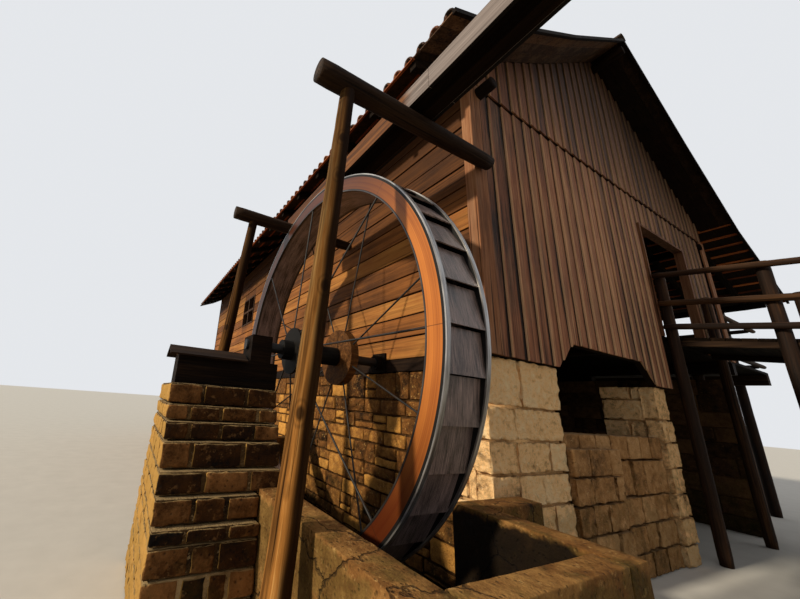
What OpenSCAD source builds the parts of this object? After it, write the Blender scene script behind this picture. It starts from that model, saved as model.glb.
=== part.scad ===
// Watermill: timber mill house on a stone base, with an overshot wheel,
// a board flume on log trestles, a walled wheel pit and a footbridge.
// House frame: x runs along the gable, y back along the side walls, z up.
// The house corner beside the wheel is at x 0, y 0.

/* [House] */
// Width of the gable wall
house_w = 8000; // [7400:50:9000]
// Length of the side walls
house_l = 13500; // [12000:100:15000]
// Thickness of the timber walls
wall_t = 110; // [90:5:140]
// How far the gable boards stand out over the stone
gable_lap = 35; // [20:5:60]
// Thickness of the stone walls
stone_t = 450; // [350:10:550]
// Height of the stone under the gable boards
stone_h = 2380; // [2300:10:2500]
// How much lower the stone under the side sill beam is than the gable's stone
side_drop = 140; // [120:10:230]
// Gap between the east stone wall and the beams under the floor
east_gap = 130; // [100:10:180]
// Height of the floor
floor_h = 3250; // [3150:10:3400]
// Thickness of the floor boards
floor_t = 60; // [40:5:80]
// Depth of the beams under the floors
girder_d = 240; // [180:10:280]
// Width of the beams under the floors
girder_w = 180; // [120:10:220]
// Height of the gable boards between the doorway and the line of the upper boards
over_door = 550; // [450:10:650]
// How far the upper gable boards stand in front of the lower ones
tier_lap = 25; // [15:5:40]
// Width of the boards that cover the corners of the gable
corner_w = 220; // [100:10:240]
// Radius of the support posts
post_r = 95; // [80:5:110]
// Distance between support posts
post_pitch = 2650; // [2300:50:3000]
// Radius of the wall plates and the ridge log
plate_r = 85; // [70:5:95]
// How far the wall plates' middle is below the line of the upper boards
plate_drop = 130; // [110:5:170]
// How far the west wall plate and the eaves log stick out of the gables
plate_out = 260; // [150:10:400]

/* [Openings] */
// Distance from the corner to the passage in the gable
passage_x = 1330; // [1100:10:1500]
// Width of the passage
passage_w = 2620; // [2400:10:2700]
// Height of the cut corners over the passage
passage_rise = 320; // [200:10:400]
// Length of the cut corners over the passage
passage_run = 370; // [250:10:500]
// Width of the stone abutment right of the passage
abutment_w = 420; // [350:10:500]
// Depth of the stone abutment right of the passage
abutment_d = 720; // [600:10:1000]
// Height of the stone step inside the passage
step_h = 1645; // [1500:5:1800]
// Depth of the stone step inside the passage
step_d = 270; // [200:10:400]
// Height of the stone step in front of the passage
front_step_h = 1490; // [1350:5:1600]
// Length of the stone step in front of the passage
front_step_l = 1100; // [800:10:1500]
// Distance from the corner's stone face to the step inside the passage
step_y = 60; // [40:5:90]
// Distance from the corner to the doorway
door_x = 4580; // [4450:10:4700]
// Width of the doorway
door_w = 2000; // [1700:10:2100]
// Height of the doorway
door_h = 2120; // [1900:10:2300]
// Width of the frames around the doorway and the window
frame_w = 90; // [60:5:120]
// Distance from the corner to the side window
window_y = 8050; // [7000:50:9000]
// Width of the side window
window_w = 1150; // [900:10:1400]
// Height of the side window
window_h = 950; // [700:10:1200]
// Height of the window's lower edge above the floor
window_up = 850; // [700:10:1100]
// Length of the open bay at the front of the veranda side
open_bay = 2400; // [2000:50:2600]

/* [Roof] */
// Height of the ridge above the line of the upper gable boards
ridge_rise = 3050; // [2900:10:3400]
// Thickness of the tiled roof, measured upright
roof_t = 90; // [60:5:120]
// Pitch of the roof beside the ridge
pitch_top = 34.2; // [32:0.1:36]
// Distance from the ridge to the first change of pitch
top_run = 2100; // [1800:50:2400]
// Pitch of the middle of the roof
pitch_mid = 31.7; // [30:0.1:33]
// Distance from the wall to the flared eaves
flare_out = 270; // [200:10:350]
// Pitch of the flared eaves over the wheel
pitch_west = 24.5; // [22:0.1:27]
// Pitch of the flared roof over the veranda
pitch_east = 20.9; // [19:0.1:22]
// Overhang of the roof over the wheel side
eave_west = 860; // [600:10:950]
// Overhang of the roof over the veranda
eave_east = 3070; // [2800:10:3300]
// Overhang of the roof over both gables
verge_over = 570; // [450:10:700]
// Depth of the rafters, measured upright
rafter_d = 130; // [100:5:160]
// Width of the rafters
rafter_w = 90; // [70:5:110]
// Distance between rafters
rafter_pitch = 800; // [700:50:1100]
// How far the rafters stop short of the eaves
rafter_short = 60; // [30:5:120]
// Depth of the verge boards
verge_d = 60; // [40:5:120]
// Thickness of the verge boards
verge_t = 40; // [25:5:60]
// Radius of the ridge tiles
ridge_r = 120; // [90:5:150]

/* [Veranda and footbridge] */
// Width of the veranda floor
veranda_w = 2620; // [2400:10:2800]
// Radius of the handrails
rail_r = 50; // [35:5:60]
// Height of the top rail's middle above the floor
rail_h = 1050; // [950:10:1100]
// Height of the middle rail's middle above the floor
rail_mid_h = 550; // [500:5:650]
// Height of the low rail's middle above the floor
rail_low_h = 150; // [120:5:200]
// Distance from the corner to the footbridge
bridge_x = 4765; // [4650:5:4900]
// Width of the footbridge between its posts
bridge_w = 2000; // [1800:10:2100]
// Length of one bay of the footbridge
bay_l = 1060; // [950:10:1150]
// Number of bays of the footbridge
bays = 4; // [3:1:5]
// Fall of the footbridge, in thousandths of its length
bridge_fall = 145; // [100:5:170]
// Thickness of the footbridge boards
deck_t = 50; // [40:5:70]
// Depth of the beams under the footbridge
bridge_girder_d = 90; // [80:5:160]
// Radius of the footbridge posts
bridge_post_r = 75; // [60:5:85]

/* [Wheel] */
// Radius of the wheel
wheel_r = 2247; // [2150:1:2260]
// Width of the wheel over its rings
wheel_w = 463; // [400:1:480]
// Width of the rings, measured along the radius
ring_w = 193; // [160:1:220]
// Thickness of the rings
ring_t = 40; // [25:1:50]
// Thickness of the iron hoops on the rings' edges
hoop_t = 12; // [6:1:18]
// Thickness of the drum between the rings
sole_t = 14; // [10:1:20]
// Number of buckets
bucket_n = 40; // [30:1:44]
// Thickness of the bucket boards
bucket_t = 12; // [8:1:16]
// Height of the buckets' knees above the drum
bucket_knee = 139; // [60:1:145]
// Gap along the rim between a bucket's lip and the next bucket
bucket_gap = 12; // [10:1:60]
// Number of spokes on each side
spoke_n = 8; // [6:2:16]
// Radius of the spokes
spoke_r = 10; // [8:1:18]
// Radius of the outer hub flange
flange_r = 290; // [250:5:320]
// Radius of the hub flange beside the wall
nave_r = 365; // [330:5:400]
// Thickness of the outer hub flange
flange_t = 34; // [24:2:44]
// Thickness of the hub flange beside the wall
nave_t = 110; // [80:5:120]
// Distance from the middle of the wheel to the outer flange's middle
flange_out = 360; // [340:5:400]
// Distance from the middle of the wheel to the inner flange's middle
flange_in = 345; // [330:5:360]
// Radius of the hub between the flanges
hub_r = 120; // [100:5:150]
// How far the hub runs past the inner flange's middle
hub_past = 70; // [60:5:75]
// How far the hub runs past the outer flange's middle
hub_out = 150; // [100:5:160]
// Radius of the shaft
shaft_r = 60; // [50:1:70]
// Distance from the side wall to the middle of the wheel
wheel_x = 1042; // [1030:1:1055]
// Distance from the gable to the shaft
wheel_y = 1621; // [1580:1:1660]
// Height of the shaft
wheel_z = 2369; // [2355:1:2400]

/* [Wheel pit and pier] */
// Height of the pit walls
pit_h = 1065; // [900:5:1150]
// Distance from the side wall to the outer pit wall's inner face
pit_out = 1780; // [1740:5:1800]
// Thickness of the outer pit wall
pit_t = 250; // [220:5:270]
// Thickness of the front pit wall
pit_front_t = 175; // [150:5:220]
// Thickness of the pit wall beside the house corner
pit_in_t = 220; // [190:5:250]
// Distance from the gable to the front pit wall's inner face
pit_front = 970; // [900:10:1050]
// Distance from the side wall to the inner pit wall's face
pit_in = 570; // [540:10:620]
// Room between the wheel and the rear pit wall
pit_back = 200; // [150:10:400]
// Thickness of the pit floor
pit_floor_t = 90; // [60:5:110]
// Height of the pier
pier_h = 1854; // [1800:2:1900]
// How far the pier reaches past the outer pit wall
pier_past = 800; // [750:10:850]
// Length of the pier's top, along the gable's direction
pier_w = 1000; // [950:10:1050]
// Distance from the gable to the front of the pier's top
pier_y = 910; // [850:10:1000]
// Depth of the pier's top
pier_d = 990; // [900:10:1050]
// Step of each course at the front of the pier
pier_step = 63; // [40:1:75]
// Step of each course at the back of the pier
pier_back_step = 70; // [40:1:90]
// Depth of the bearing beam
beam_d = 304; // [260:2:320]
// Width of the bearing beam
beam_w = 320; // [260:10:360]
// Distance from the pier's outer side to the end of the bearing beam
beam_in = 90; // [50:5:140]
// How far the bearing beam reaches over the pit
beam_over = 137; // [110:1:150]
// Length of the outer bearing block, measured along the shaft
bearing_l = 245; // [200:5:260]
// Distance from the outer bearing block to the beam's end over the pit
bearing_in = 92; // [80:2:120]
// Height of the outer bearing block's top above the shaft's middle
bearing_over = 100; // [85:5:130]

/* [Flume] */
// Height of the flume's underside at the near trestle
flume_z = 4704; // [4690:1:4730]
// Fall of the flume, in thousandths of its length
flume_fall = 14; // [5:1:18]
// Outer width of the flume
flume_w = 360; // [320:5:400]
// Height of the flume's sides
flume_h = 232; // [200:2:260]
// Thickness of the flume boards
flume_t = 40; // [30:1:50]
// Distance from the side wall to the flume
flume_x = 800; // [780:5:830]
// Distance between trestles
trestle_pitch = 2690; // [2600:10:2750]
// How far the flume runs past the outer trestles
flume_over = 270; // [200:10:350]
// Radius of the trestle beams at the outer end
beam_r1 = 105; // [95:5:115]
// Radius of the trestle beams at the wall end
beam_r2 = 82; // [70:2:90]
// Distance from the side wall to the outer ends of the trestle beams
beam_out = 2175; // [2100:5:2250]
// How far the near trestle beam runs past the house corner
beam_past = 135; // [100:5:200]
// Radius of the trestle posts at the foot
leg_r1 = 92; // [80:2:100]
// Radius of the trestle posts at the top
leg_r2 = 68; // [60:2:80]
// Lean of the trestle posts from foot to top
leg_lean = 410; // [300:5:450]
// Lean of the trestle posts along the flume
leg_rake = 75; // [0:5:100]
// Distance from the side wall to the tops of the trestle posts
leg_x = 1860; // [1830:5:1950]

/* [Hidden] */

// Clearance between round surfaces that rest on each other
seat = 0.3;
// Running clearance of the shaft in its bearings
run_fit = 0.05;
// Room round a part that passes through a wall
hole_gap = 1;
// Half the gap between the two slopes' timbers at the ridge
mitre_gap = 0.5;
// Height of the sill beams' top above the gable stone
sill_over = 18;
// Depth of the sill beams, measured across the wall
sill_w = 200;
// Distance from the gable to the first support post
first_post = 500;
// Height of the handrail posts above the top rail
post_over = 70;
// Room between the shaft and the wall's hole
shaft_gap = 40;
// Thickness of the wall bearing's collar round the shaft
collar_wall = 40;
// How far inside the outer flange's edge the spokes start
spoke_in = 70;
// How far the spokes' middles run past the drum's radius
spoke_past = 20;
// How far the door frame stands out of the gable's faces
door_proud = 10;
// How far the window frame stands out of the side wall
window_proud = 15;
// Thickness of the ridge tiles
ridge_tile_t = 22;

// Colours of the plain model
stone_c = "#8a7350";
pier_c = "#57402a";
concrete_c = "#6e5f45";
board_c = "#4a342a";
plank_c = "#6d4a2c";
log_c = "#b98540";
dark_c = "#2c2019";
tile_c = "#5a4435";
wet_c = "#17130f";
ring_c = "#b4622c";
iron_c = "#3a3a3a";

// Height of the line where the upper gable boards begin
tier_h = floor_h + door_h + over_door;
// Height of the underside of the beams under the floor
girder_z = floor_h - floor_t - girder_d;
// Heights of the stone under the west sill beam and under the east side
side_stone_h = stone_h - side_drop;
east_stone_h = girder_z - east_gap;

// Roof heights: the top of the tiles at a distance d from the ridge
mid_x = house_w / 2;
mid_run = mid_x + flare_out;
ridge_h = tier_h + ridge_rise;
plate_h = tier_h - plate_drop;
knee_z = ridge_h - top_run * tan(pitch_top);
flare_z = knee_z - (mid_run - top_run) * tan(pitch_mid);
function roof_drop(d, flare) =
    d <= top_run ? ridge_h - d * tan(pitch_top)
    : d <= mid_run ? knee_z - (d - top_run) * tan(pitch_mid)
    : flare_z - (d - mid_run) * tan(flare);
function roof_at(x) = x < mid_x ? roof_drop(mid_x - x, pitch_west) : roof_drop(x - mid_x, pitch_east);
function under_tiles(x) = roof_at(x) - roof_t - seat;
function under_rafters(x) = roof_at(x) - roof_t - rafter_d - seat;
west_xs = [mid_x, mid_x - top_run, mid_x - mid_run, -eave_west];
east_xs = [mid_x, mid_x + top_run, mid_x + mid_run, house_w + eave_east];

// Height of the flume's underside and of the footbridge boards at y
beam_r_at_wall = beam_r2 + (beam_r1 - beam_r2) * beam_past / (beam_out + beam_past);
trestle_y = -gable_lap - tier_lap - beam_r_at_wall - seat;
function flume_at(y) = flume_z - (y - trestle_y) * flume_fall / 1000;
function deck_at(y) = floor_h + (y + gable_lap) * bridge_fall / 1000;

sill_top = stone_h + sill_over;
// The inner faces of the two gables
inner_y0 = wall_t - gable_lap;
inner_y1 = house_l - inner_y0;
flume_y0 = trestle_y - trestle_pitch - flume_over;
flume_y1 = trestle_y + trestle_pitch + flume_over;
bridge_y0 = -gable_lap - bridge_post_r - seat;
bridge_y1 = bridge_y0 - bays * bay_l;
pit_y0 = -pit_front - pit_front_t;
pit_y1 = wheel_y + wheel_r + pit_back;
// Heights of the pier's courses, from the top down
courses = [175, 130, 145, 200, 170, 175, 105];
function sum_to(i) = i < 0 ? 0 : courses[i] + sum_to(i - 1);
pier_x0 = -pit_out - pit_t - pier_past;

// Overall box, for the origin at the middle of the bottom
box_x0 = pier_x0;
box_x1 = house_w + eave_east;
box_y0 = min(bridge_y1 - bridge_post_r, flume_y0);
box_y1 = house_l + verge_over;

module part(c) {
    color(c) translate([-(box_x0 + box_x1) / 2, -(box_y0 + box_y1) / 2, 0]) children();
}
// A box given by its lowest and highest corners
module block(a, b) {
    translate(a) cube(b - a);
}
// An outline in x and z, drawn out along y from y0 to y1
module along_y(y0, y1) {
    translate([0, y1, 0]) rotate([90, 0, 0]) linear_extrude(y1 - y0) children();
}
// An outline in y and z, drawn out along x from x0 to x1
module along_x(x0, x1) {
    translate([x0, 0, 0]) rotate([90, 0, 90]) linear_extrude(x1 - x0) children();
}
// A straight round log from a to b
module log(a, b, r1, r2) {
    v = b - a;
    len = norm(v);
    translate(a) rotate([0, acos(v[2] / len), atan2(v[1], v[0])])
        cylinder(h = len, r1 = r1, r2 = r2, $fn = 48);
}
// The roof's outline between two depths under the tiles, for one side
module roof_band(xs, top, low) {
    polygon(concat([for (x = xs) [x, roof_at(x) - top]],
        [for (i = [len(xs) - 1:-1:0]) [xs[i], roof_at(xs[i]) - low]]));
}

// Wheel pit
module pit_floor() {
    part(concrete_c) linear_extrude(pit_floor_t)
        polygon([[-pit_out, -pit_front], [-pit_in, -pit_front], [-pit_in, 0],
            [0, 0], [0, pit_y1], [-pit_out, pit_y1]]);
}
module pit_outer_wall() {
    part(concrete_c) block([-pit_out - pit_t, pit_y0, 0], [-pit_out, pit_y1 + pit_t, pit_h]);
}
module pit_end_walls() {
    part(concrete_c) {
        block([-pit_out, pit_y0, 0], [-pit_in, -pit_front, pit_h]);
        block([-pit_out, pit_y1, 0], [0, pit_y1 + pit_t, pit_h]);
    }
}
module pit_inner_wall() {
    part(concrete_c) union() {
        block([-pit_in, pit_y0, 0], [-pit_in + pit_in_t, 0, pit_h]);
        block([-pit_in, -pit_in_t, 0], [passage_x / 4, 0, pit_h]);
    }
}

// Pier and bearings
// One course of the pier from height low to high, run number i from the top
module pier_course(i, low, high, x1) {
    block([pier_x0, pier_y - i * pier_step, low], [x1, pier_y + pier_d + i * pier_back_step, high]);
}
module bearing_pier() {
    part(pier_c) union() for (i = [0:len(courses)]) {
        low = i < len(courses) ? pier_h - sum_to(i) : 0;
        high = pier_h - sum_to(i - 1);
        run = min(i, len(courses) - 1);
        if (high > pit_h) pier_course(run, max(low, pit_h), high, pier_x0 + pier_w);
        if (low < pit_h) pier_course(run, low, min(high, pit_h), -pit_out - pit_t);
    }
}
beam_x0 = pier_x0 + beam_in;
beam_x1 = -pit_out + beam_over;
beam_top = pier_h + beam_d;
module bearing_beam() {
    part(dark_c) block([beam_x0, wheel_y - beam_w / 2, pier_h],
        [beam_x1, wheel_y + beam_w / 2, beam_top]);
}
module bearing_bore(x0, x1) {
    translate([x0 - 1, wheel_y, wheel_z]) rotate([0, 90, 0])
        cylinder(h = x1 - x0 + 2, r = shaft_r + run_fit, $fn = 96);
}
// Outer bearing: a squared timber block on the beam
block_x1 = beam_x1 - bearing_in;
block_x0 = block_x1 - bearing_l;
module bearing_block() {
    difference() {
        block([block_x0, wheel_y - beam_w / 2, beam_top],
            [block_x1, wheel_y + beam_w / 2, wheel_z + bearing_over]);
        bearing_bore(block_x0, block_x1);
    }
}
// Wall bearing: a square plate with a round collar
plate_side = shaft_r * 9 / 2;
collar_l = shaft_r * 4 / 3;
collar_r = shaft_r + collar_wall;
module wall_bearing() {
    x0 = -shaft_r / 2 - collar_l;
    difference() {
        union() {
            block([-shaft_r / 2, wheel_y - plate_side / 2, wheel_z - plate_side / 2],
                [0, wheel_y + plate_side / 2, wheel_z + plate_side / 2]);
            translate([x0, wheel_y, wheel_z]) rotate([0, 90, 0]) cylinder(h = -x0, r = collar_r, $fn = 64);
        }
        bearing_bore(x0, 0);
    }
}
module wheel_bearings() {
    part(dark_c) {
        bearing_block();
        wall_bearing();
    }
}

// House masonry
module shaft_hole() {
    translate([-1, wheel_y, wheel_z]) rotate([0, 90, 0])
        cylinder(h = stone_t, r = shaft_r + shaft_gap, $fn = 48);
}
module side_stone_wall() {
    part(stone_c) difference() {
        block([0, stone_t, 0], [stone_t, house_l - stone_t, side_stone_h]);
        shaft_hole();
    }
}
module gable_stone_left() {
    part(stone_c) block([0, 0, 0], [passage_x, stone_t, stone_h]);
}
module gable_stone_right() {
    x0 = passage_x + passage_w;
    part(stone_c) block([x0, 0, 0], [x0 + abutment_w, abutment_d, stone_h]);
}
module passage_steps() {
    part(stone_c) {
        block([passage_x, step_y, 0], [passage_x + passage_w, step_y + step_d, step_h]);
        block([passage_x, -gable_lap, 0], [passage_x + front_step_l, step_y - seat, front_step_h]);
    }
}
// The rear wall and, joined to it, the wall under the east side
module rear_stone_wall() {
    part(stone_c) union() {
        block([0, house_l - stone_t, 0], [house_w, house_l, stone_h]);
        block([house_w - stone_t, inner_y0, 0], [house_w, inner_y1, east_stone_h]);
    }
}

// Log posts under the house and under the eaves of the veranda, and a short one on the east wall
rows = floor((house_l - 2 * first_post) / post_pitch);
veranda_x = house_w + veranda_w;
mid_post_x = passage_x + passage_w + abutment_w / 2;
eave_log_z = under_rafters(veranda_x + post_r) - plate_r / cos(pitch_east) - seat;
east_post_x = house_w - sill_w / 2;
module support_posts() {
    part(dark_c) for (i = [0:rows]) {
        y = first_post + i * post_pitch;
        if (y + post_r < open_bay)
            log([east_post_x, y, east_stone_h], [east_post_x, y, girder_z], post_r, post_r);
        log([veranda_x + post_r + seat, y, 0],
            [veranda_x + post_r + seat, y, eave_log_z - plate_r - seat], post_r, post_r);
        if (y > abutment_d + post_r)
            log([mid_post_x, y, 0], [mid_post_x, y, girder_z], post_r, post_r);
    }
}

// House timber
module sill_beams() {
    part(dark_c) {
        difference() {
            block([0, stone_t, side_stone_h], [sill_w, house_l - stone_t, sill_top]);
            shaft_hole();
        }
        block([house_w - sill_w, open_bay, east_stone_h], [house_w, inner_y1, girder_z]);
    }
}
module floor() {
    top = floor_h - floor_t;
    part(plank_c) union() {
        block([wall_t, inner_y0, top], [house_w - wall_t, inner_y1, floor_h]);
        block([house_w - wall_t, inner_y0, top], [house_w, open_bay, floor_h]);
        block([door_x, -gable_lap, top], [door_x + door_w, inner_y0, floor_h]);
        for (x = [wall_t, mid_post_x - girder_w / 2, house_w - wall_t - girder_w])
            block([x, inner_y0, top - girder_d], [x + girder_w, inner_y1, floor_h - floor_t / 2]);
    }
}
module side_plank_wall() {
    part(plank_c) difference() {
        along_y(inner_y0, inner_y1) polygon([[0, sill_top], [wall_t, sill_top],
            [wall_t, under_rafters(wall_t)], [0, under_rafters(0)]]);
        block([-1, window_y, floor_h + window_up],
            [wall_t + 1, window_y + window_w, floor_h + window_up + window_h]);
        shaft_hole();
    }
}
module plate_holes(xs, y0, y1, z) {
    for (x = xs) translate([x, y0 - 1, z]) rotate([-90, 0, 0])
        cylinder(h = y1 - y0 + 2, r = plate_r + hole_gap, $fn = 64);
}
plate_x0 = wall_t + plate_r + seat;
plate_x1 = house_w - plate_x0;
ridge_log_z = under_rafters(mid_x) - plate_r / cos(pitch_top) - seat;
module gable_wall_left() {
    x1 = passage_x + passage_w;
    part(board_c) difference() {
        union() {
            along_y(-gable_lap, inner_y0) polygon([[0, stone_h], [passage_x, stone_h],
                [passage_x + passage_run, stone_h + passage_rise],
                [x1 - passage_run, stone_h + passage_rise], [x1, stone_h], [door_x, stone_h],
                [door_x, tier_h], [0, tier_h]]);
            block([0, -gable_lap - tier_lap, stone_h], [corner_w, 0, tier_h]);
        }
        plate_holes([plate_x0], -gable_lap - tier_lap, inner_y0, plate_h);
    }
}
module gable_wall_right() {
    low = floor_h - floor_t;
    part(board_c) difference() {
        union() {
            block([door_x + door_w, -gable_lap, low], [house_w, inner_y0, tier_h]);
            block([house_w - corner_w, -gable_lap - tier_lap, low], [house_w, 0, tier_h]);
        }
        plate_holes([plate_x1], -gable_lap - tier_lap, inner_y0, plate_h);
    }
}
module gable_wall_at_door() {
    part(board_c) block([door_x, -gable_lap, floor_h + door_h], [door_x + door_w, inner_y0, tier_h]);
}
// Outline of a gable from height z up to the tiles
module gable_outline(z) {
    xs = [0, mid_x - top_run, mid_x, mid_x + top_run, house_w];
    polygon(concat([[house_w, z], [0, z]], [for (x = xs) [x, under_tiles(x)]]));
}
module gable_upper() {
    part(board_c) difference() {
        along_y(-gable_lap - tier_lap, inner_y0 - tier_lap) gable_outline(tier_h);
        plate_holes([mid_x], -gable_lap - tier_lap, inner_y0, ridge_log_z);
    }
}
module rear_gable_wall() {
    part(board_c) difference() {
        along_y(inner_y1, house_l + gable_lap) gable_outline(stone_h);
        plate_holes([plate_x0, plate_x1], inner_y1, house_l + gable_lap, plate_h);
        plate_holes([mid_x], inner_y1, house_l + gable_lap, ridge_log_z);
    }
}
module east_wall() {
    x0 = house_w - wall_t;
    part(plank_c) along_y(open_bay, inner_y1) polygon([[x0, girder_z], [house_w, girder_z],
        [house_w, under_rafters(house_w)], [x0, under_rafters(x0)]]);
}
module wall_plates() {
    y0 = -plate_out;
    y1 = house_l + plate_out;
    part(dark_c) {
        log([plate_x0, y0, plate_h], [plate_x0, y1, plate_h], plate_r, plate_r);
        log([plate_x1, -gable_lap - tier_lap, plate_h], [plate_x1, y1, plate_h], plate_r, plate_r);
        log([mid_x, -verge_over + verge_t, ridge_log_z],
            [mid_x, house_l + verge_over - verge_t, ridge_log_z], plate_r, plate_r);
        log([veranda_x + post_r, y0, eave_log_z], [veranda_x + post_r, y1, eave_log_z], plate_r, plate_r);
    }
}
module door_frame() {
    x0 = door_x;
    x1 = door_x + door_w;
    z1 = floor_h + door_h;
    part(dark_c) along_y(-gable_lap - door_proud, inner_y0 + door_proud) difference() {
        translate([x0, floor_h]) square([door_w, door_h]);
        translate([x0 + frame_w / 2, floor_h - 1]) square([door_w - frame_w, door_h - frame_w / 2 + 1]);
    }
}
module window_frame() {
    z0 = floor_h + window_up;
    part(dark_c) along_x(-window_proud, wall_t) difference() {
        translate([window_y, z0]) square([window_w, window_h]);
        for (i = [0, 1], j = [0, 1])
            translate([window_y + frame_w / 2 + i * (window_w / 2 - frame_w / 8),
                z0 + frame_w / 2 + j * (window_h / 2 - frame_w / 8)])
                square([window_w / 2 - frame_w * 7 / 8, window_h / 2 - frame_w * 7 / 8]);
    }
}

// Roof
module roof_west() {
    part(tile_c) along_y(-verge_over, house_l + verge_over) roof_band(west_xs, 0, roof_t);
}
module roof_east() {
    part(tile_c) along_y(-verge_over, house_l + verge_over) roof_band(east_xs, 0, roof_t);
}
module ridge_cap() {
    part(tile_c) along_y(-verge_over, house_l + verge_over) difference() {
        translate([mid_x, ridge_h - ridge_r / 2]) circle(r = ridge_r, $fn = 48);
        translate([mid_x, ridge_h - ridge_r / 2]) circle(r = ridge_r - ridge_tile_t, $fn = 48);
        polygon([[mid_x, ridge_h], [mid_x + top_run, knee_z], [mid_x + top_run, 0],
            [mid_x - top_run, 0], [mid_x - top_run, knee_z]]);
    }
}
// Both slopes' outlines for the timbers under the tiles, apart at the ridge and at the flare
module slope_timbers(low, short) {
    for (xs = [west_xs, east_xs]) {
        out = xs[1] < mid_x ? -1 : 1;
        roof_band([xs[0] + out * mitre_gap, xs[1], xs[2] - out * mitre_gap], roof_t + seat / 2, low);
        roof_band([xs[2] + out * mitre_gap, xs[3] - out * short], roof_t + seat / 2, low);
    }
}
rafter_y0 = inner_y0 - tier_lap + hole_gap;
rafter_y1 = inner_y1 - hole_gap - rafter_w;
rafter_n = floor((rafter_y1 - rafter_y0 - rafter_w) / rafter_pitch);
module rafters() {
    ys = concat([for (i = [0:rafter_n]) rafter_y0 + i * rafter_pitch], [rafter_y1]);
    part(dark_c) for (y = ys) along_y(y, y + rafter_w) slope_timbers(roof_t + rafter_d, rafter_short);
}
module verge_boards() {
    part(dark_c) for (y = [-verge_over, house_l + verge_over - verge_t])
        along_y(y, y + verge_t) slope_timbers(roof_t + verge_d, 0);
}

// Veranda
module veranda_floor() {
    top = floor_h - floor_t;
    part(plank_c) union() {
        block([house_w, 0, top], [veranda_x, house_l, floor_h]);
        for (x = [house_w, veranda_x - girder_w])
            block([x, 0, top - girder_d], [x + girder_w, house_l, floor_h - floor_t / 2]);
    }
}
rail_hs = [rail_low_h, rail_mid_h, rail_h];
module veranda_railing() {
    x = veranda_x - rail_r;
    part(dark_c) for (h = rail_hs) {
        log([x, 2 * rail_r + seat, floor_h + h], [x, house_l, floor_h + h], rail_r, rail_r);
        log([house_w, rail_r, floor_h + h], [veranda_x + post_r, rail_r, floor_h + h], rail_r, rail_r);
    }
}

// Footbridge
bridge_far = bridge_x + bridge_w;
module footbridge_deck() {
    part(plank_c) union() {
        along_x(bridge_x, bridge_far) polygon([[-gable_lap, deck_at(-gable_lap)],
            [bridge_y1, deck_at(bridge_y1)], [bridge_y1, deck_at(bridge_y1) - deck_t],
            [-gable_lap, deck_at(-gable_lap) - deck_t]]);
        for (x = [bridge_x, bridge_far - girder_w / 2])
            along_x(x, x + girder_w / 2) polygon([[-gable_lap, deck_at(-gable_lap) - deck_t / 2],
                [bridge_y1, deck_at(bridge_y1) - deck_t / 2],
                [bridge_y1, deck_at(bridge_y1) - deck_t - bridge_girder_d],
                [-gable_lap, deck_at(-gable_lap) - deck_t - bridge_girder_d]]);
    }
}
bridge_ys = [for (i = [0:bays]) bridge_y0 - i * bay_l];
// The post line on one side: -1 left, 1 right
function bridge_post_x(side) = side < 0 ? bridge_x - bridge_post_r - seat : bridge_far + bridge_post_r + seat;
module footbridge_posts() {
    part(dark_c) for (side = [-1, 1], y = bridge_ys) {
        x = bridge_post_x(side);
        log([x, y, 0], [x, y, deck_at(y) + rail_h + post_over], bridge_post_r, bridge_post_r);
    }
}
module footbridge_rails() {
    y0 = bridge_y0 + bridge_post_r / 2;
    y1 = bridge_y1 - bridge_post_r / 2;
    part(dark_c) for (side = [-1, 1], h = rail_hs) {
        x = bridge_post_x(side) + side * (bridge_post_r + rail_r + seat);
        log([x, y0, deck_at(y0) + h], [x, y1, deck_at(y1) + h], rail_r, rail_r);
    }
}

// Flume
module flume_outline(low, high) {
    polygon([[flume_y0, flume_at(flume_y0) + low], [flume_y1, flume_at(flume_y1) + low],
        [flume_y1, flume_at(flume_y1) + high], [flume_y0, flume_at(flume_y0) + high]]);
}
module flume_floor() {
    part(board_c) along_x(-flume_x - flume_w + flume_t, -flume_x - flume_t) flume_outline(0, flume_t);
}
module flume_sides() {
    part(board_c) for (x = [-flume_x - flume_w, -flume_x - flume_t])
        along_x(x, x + flume_t) flume_outline(0, flume_h);
}
// Room between the rear trestle beam's end and the side wall
beam_end_gap = 1;
trestle_ys = [trestle_y - trestle_pitch, trestle_y, trestle_y + trestle_pitch];
// A tapered log whose upper side is level and carries the flume
module trestle_beam(y, x1, extra) {
    top = flume_at(y) - seat;
    r1 = beam_r1 + extra;
    r2 = beam_r2 + extra;
    log([-beam_out, y, top - beam_r1], [x1, y, top - beam_r2], r1, r2);
}
// A leaning post with its top hollowed to hold the beam
module trestle_leg(x, y, lean) {
    difference() {
        log([x - lean, y - leg_rake, 0], [x, y, flume_at(y) - beam_r1], leg_r1, leg_r2);
        trestle_beam(y, beam_past, seat);
    }
}
module trestle_posts() {
    part(log_c) {
        for (y = trestle_ys) trestle_leg(-leg_x, y, leg_lean);
        trestle_leg(-leg_lean, trestle_ys[0], -leg_lean);
    }
}
module trestle_beams() {
    part(dark_c) {
        for (i = [0, 1]) trestle_beam(trestle_ys[i], beam_past, 0);
        trestle_beam(trestle_ys[2], -beam_end_gap, 0);
    }
}

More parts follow.
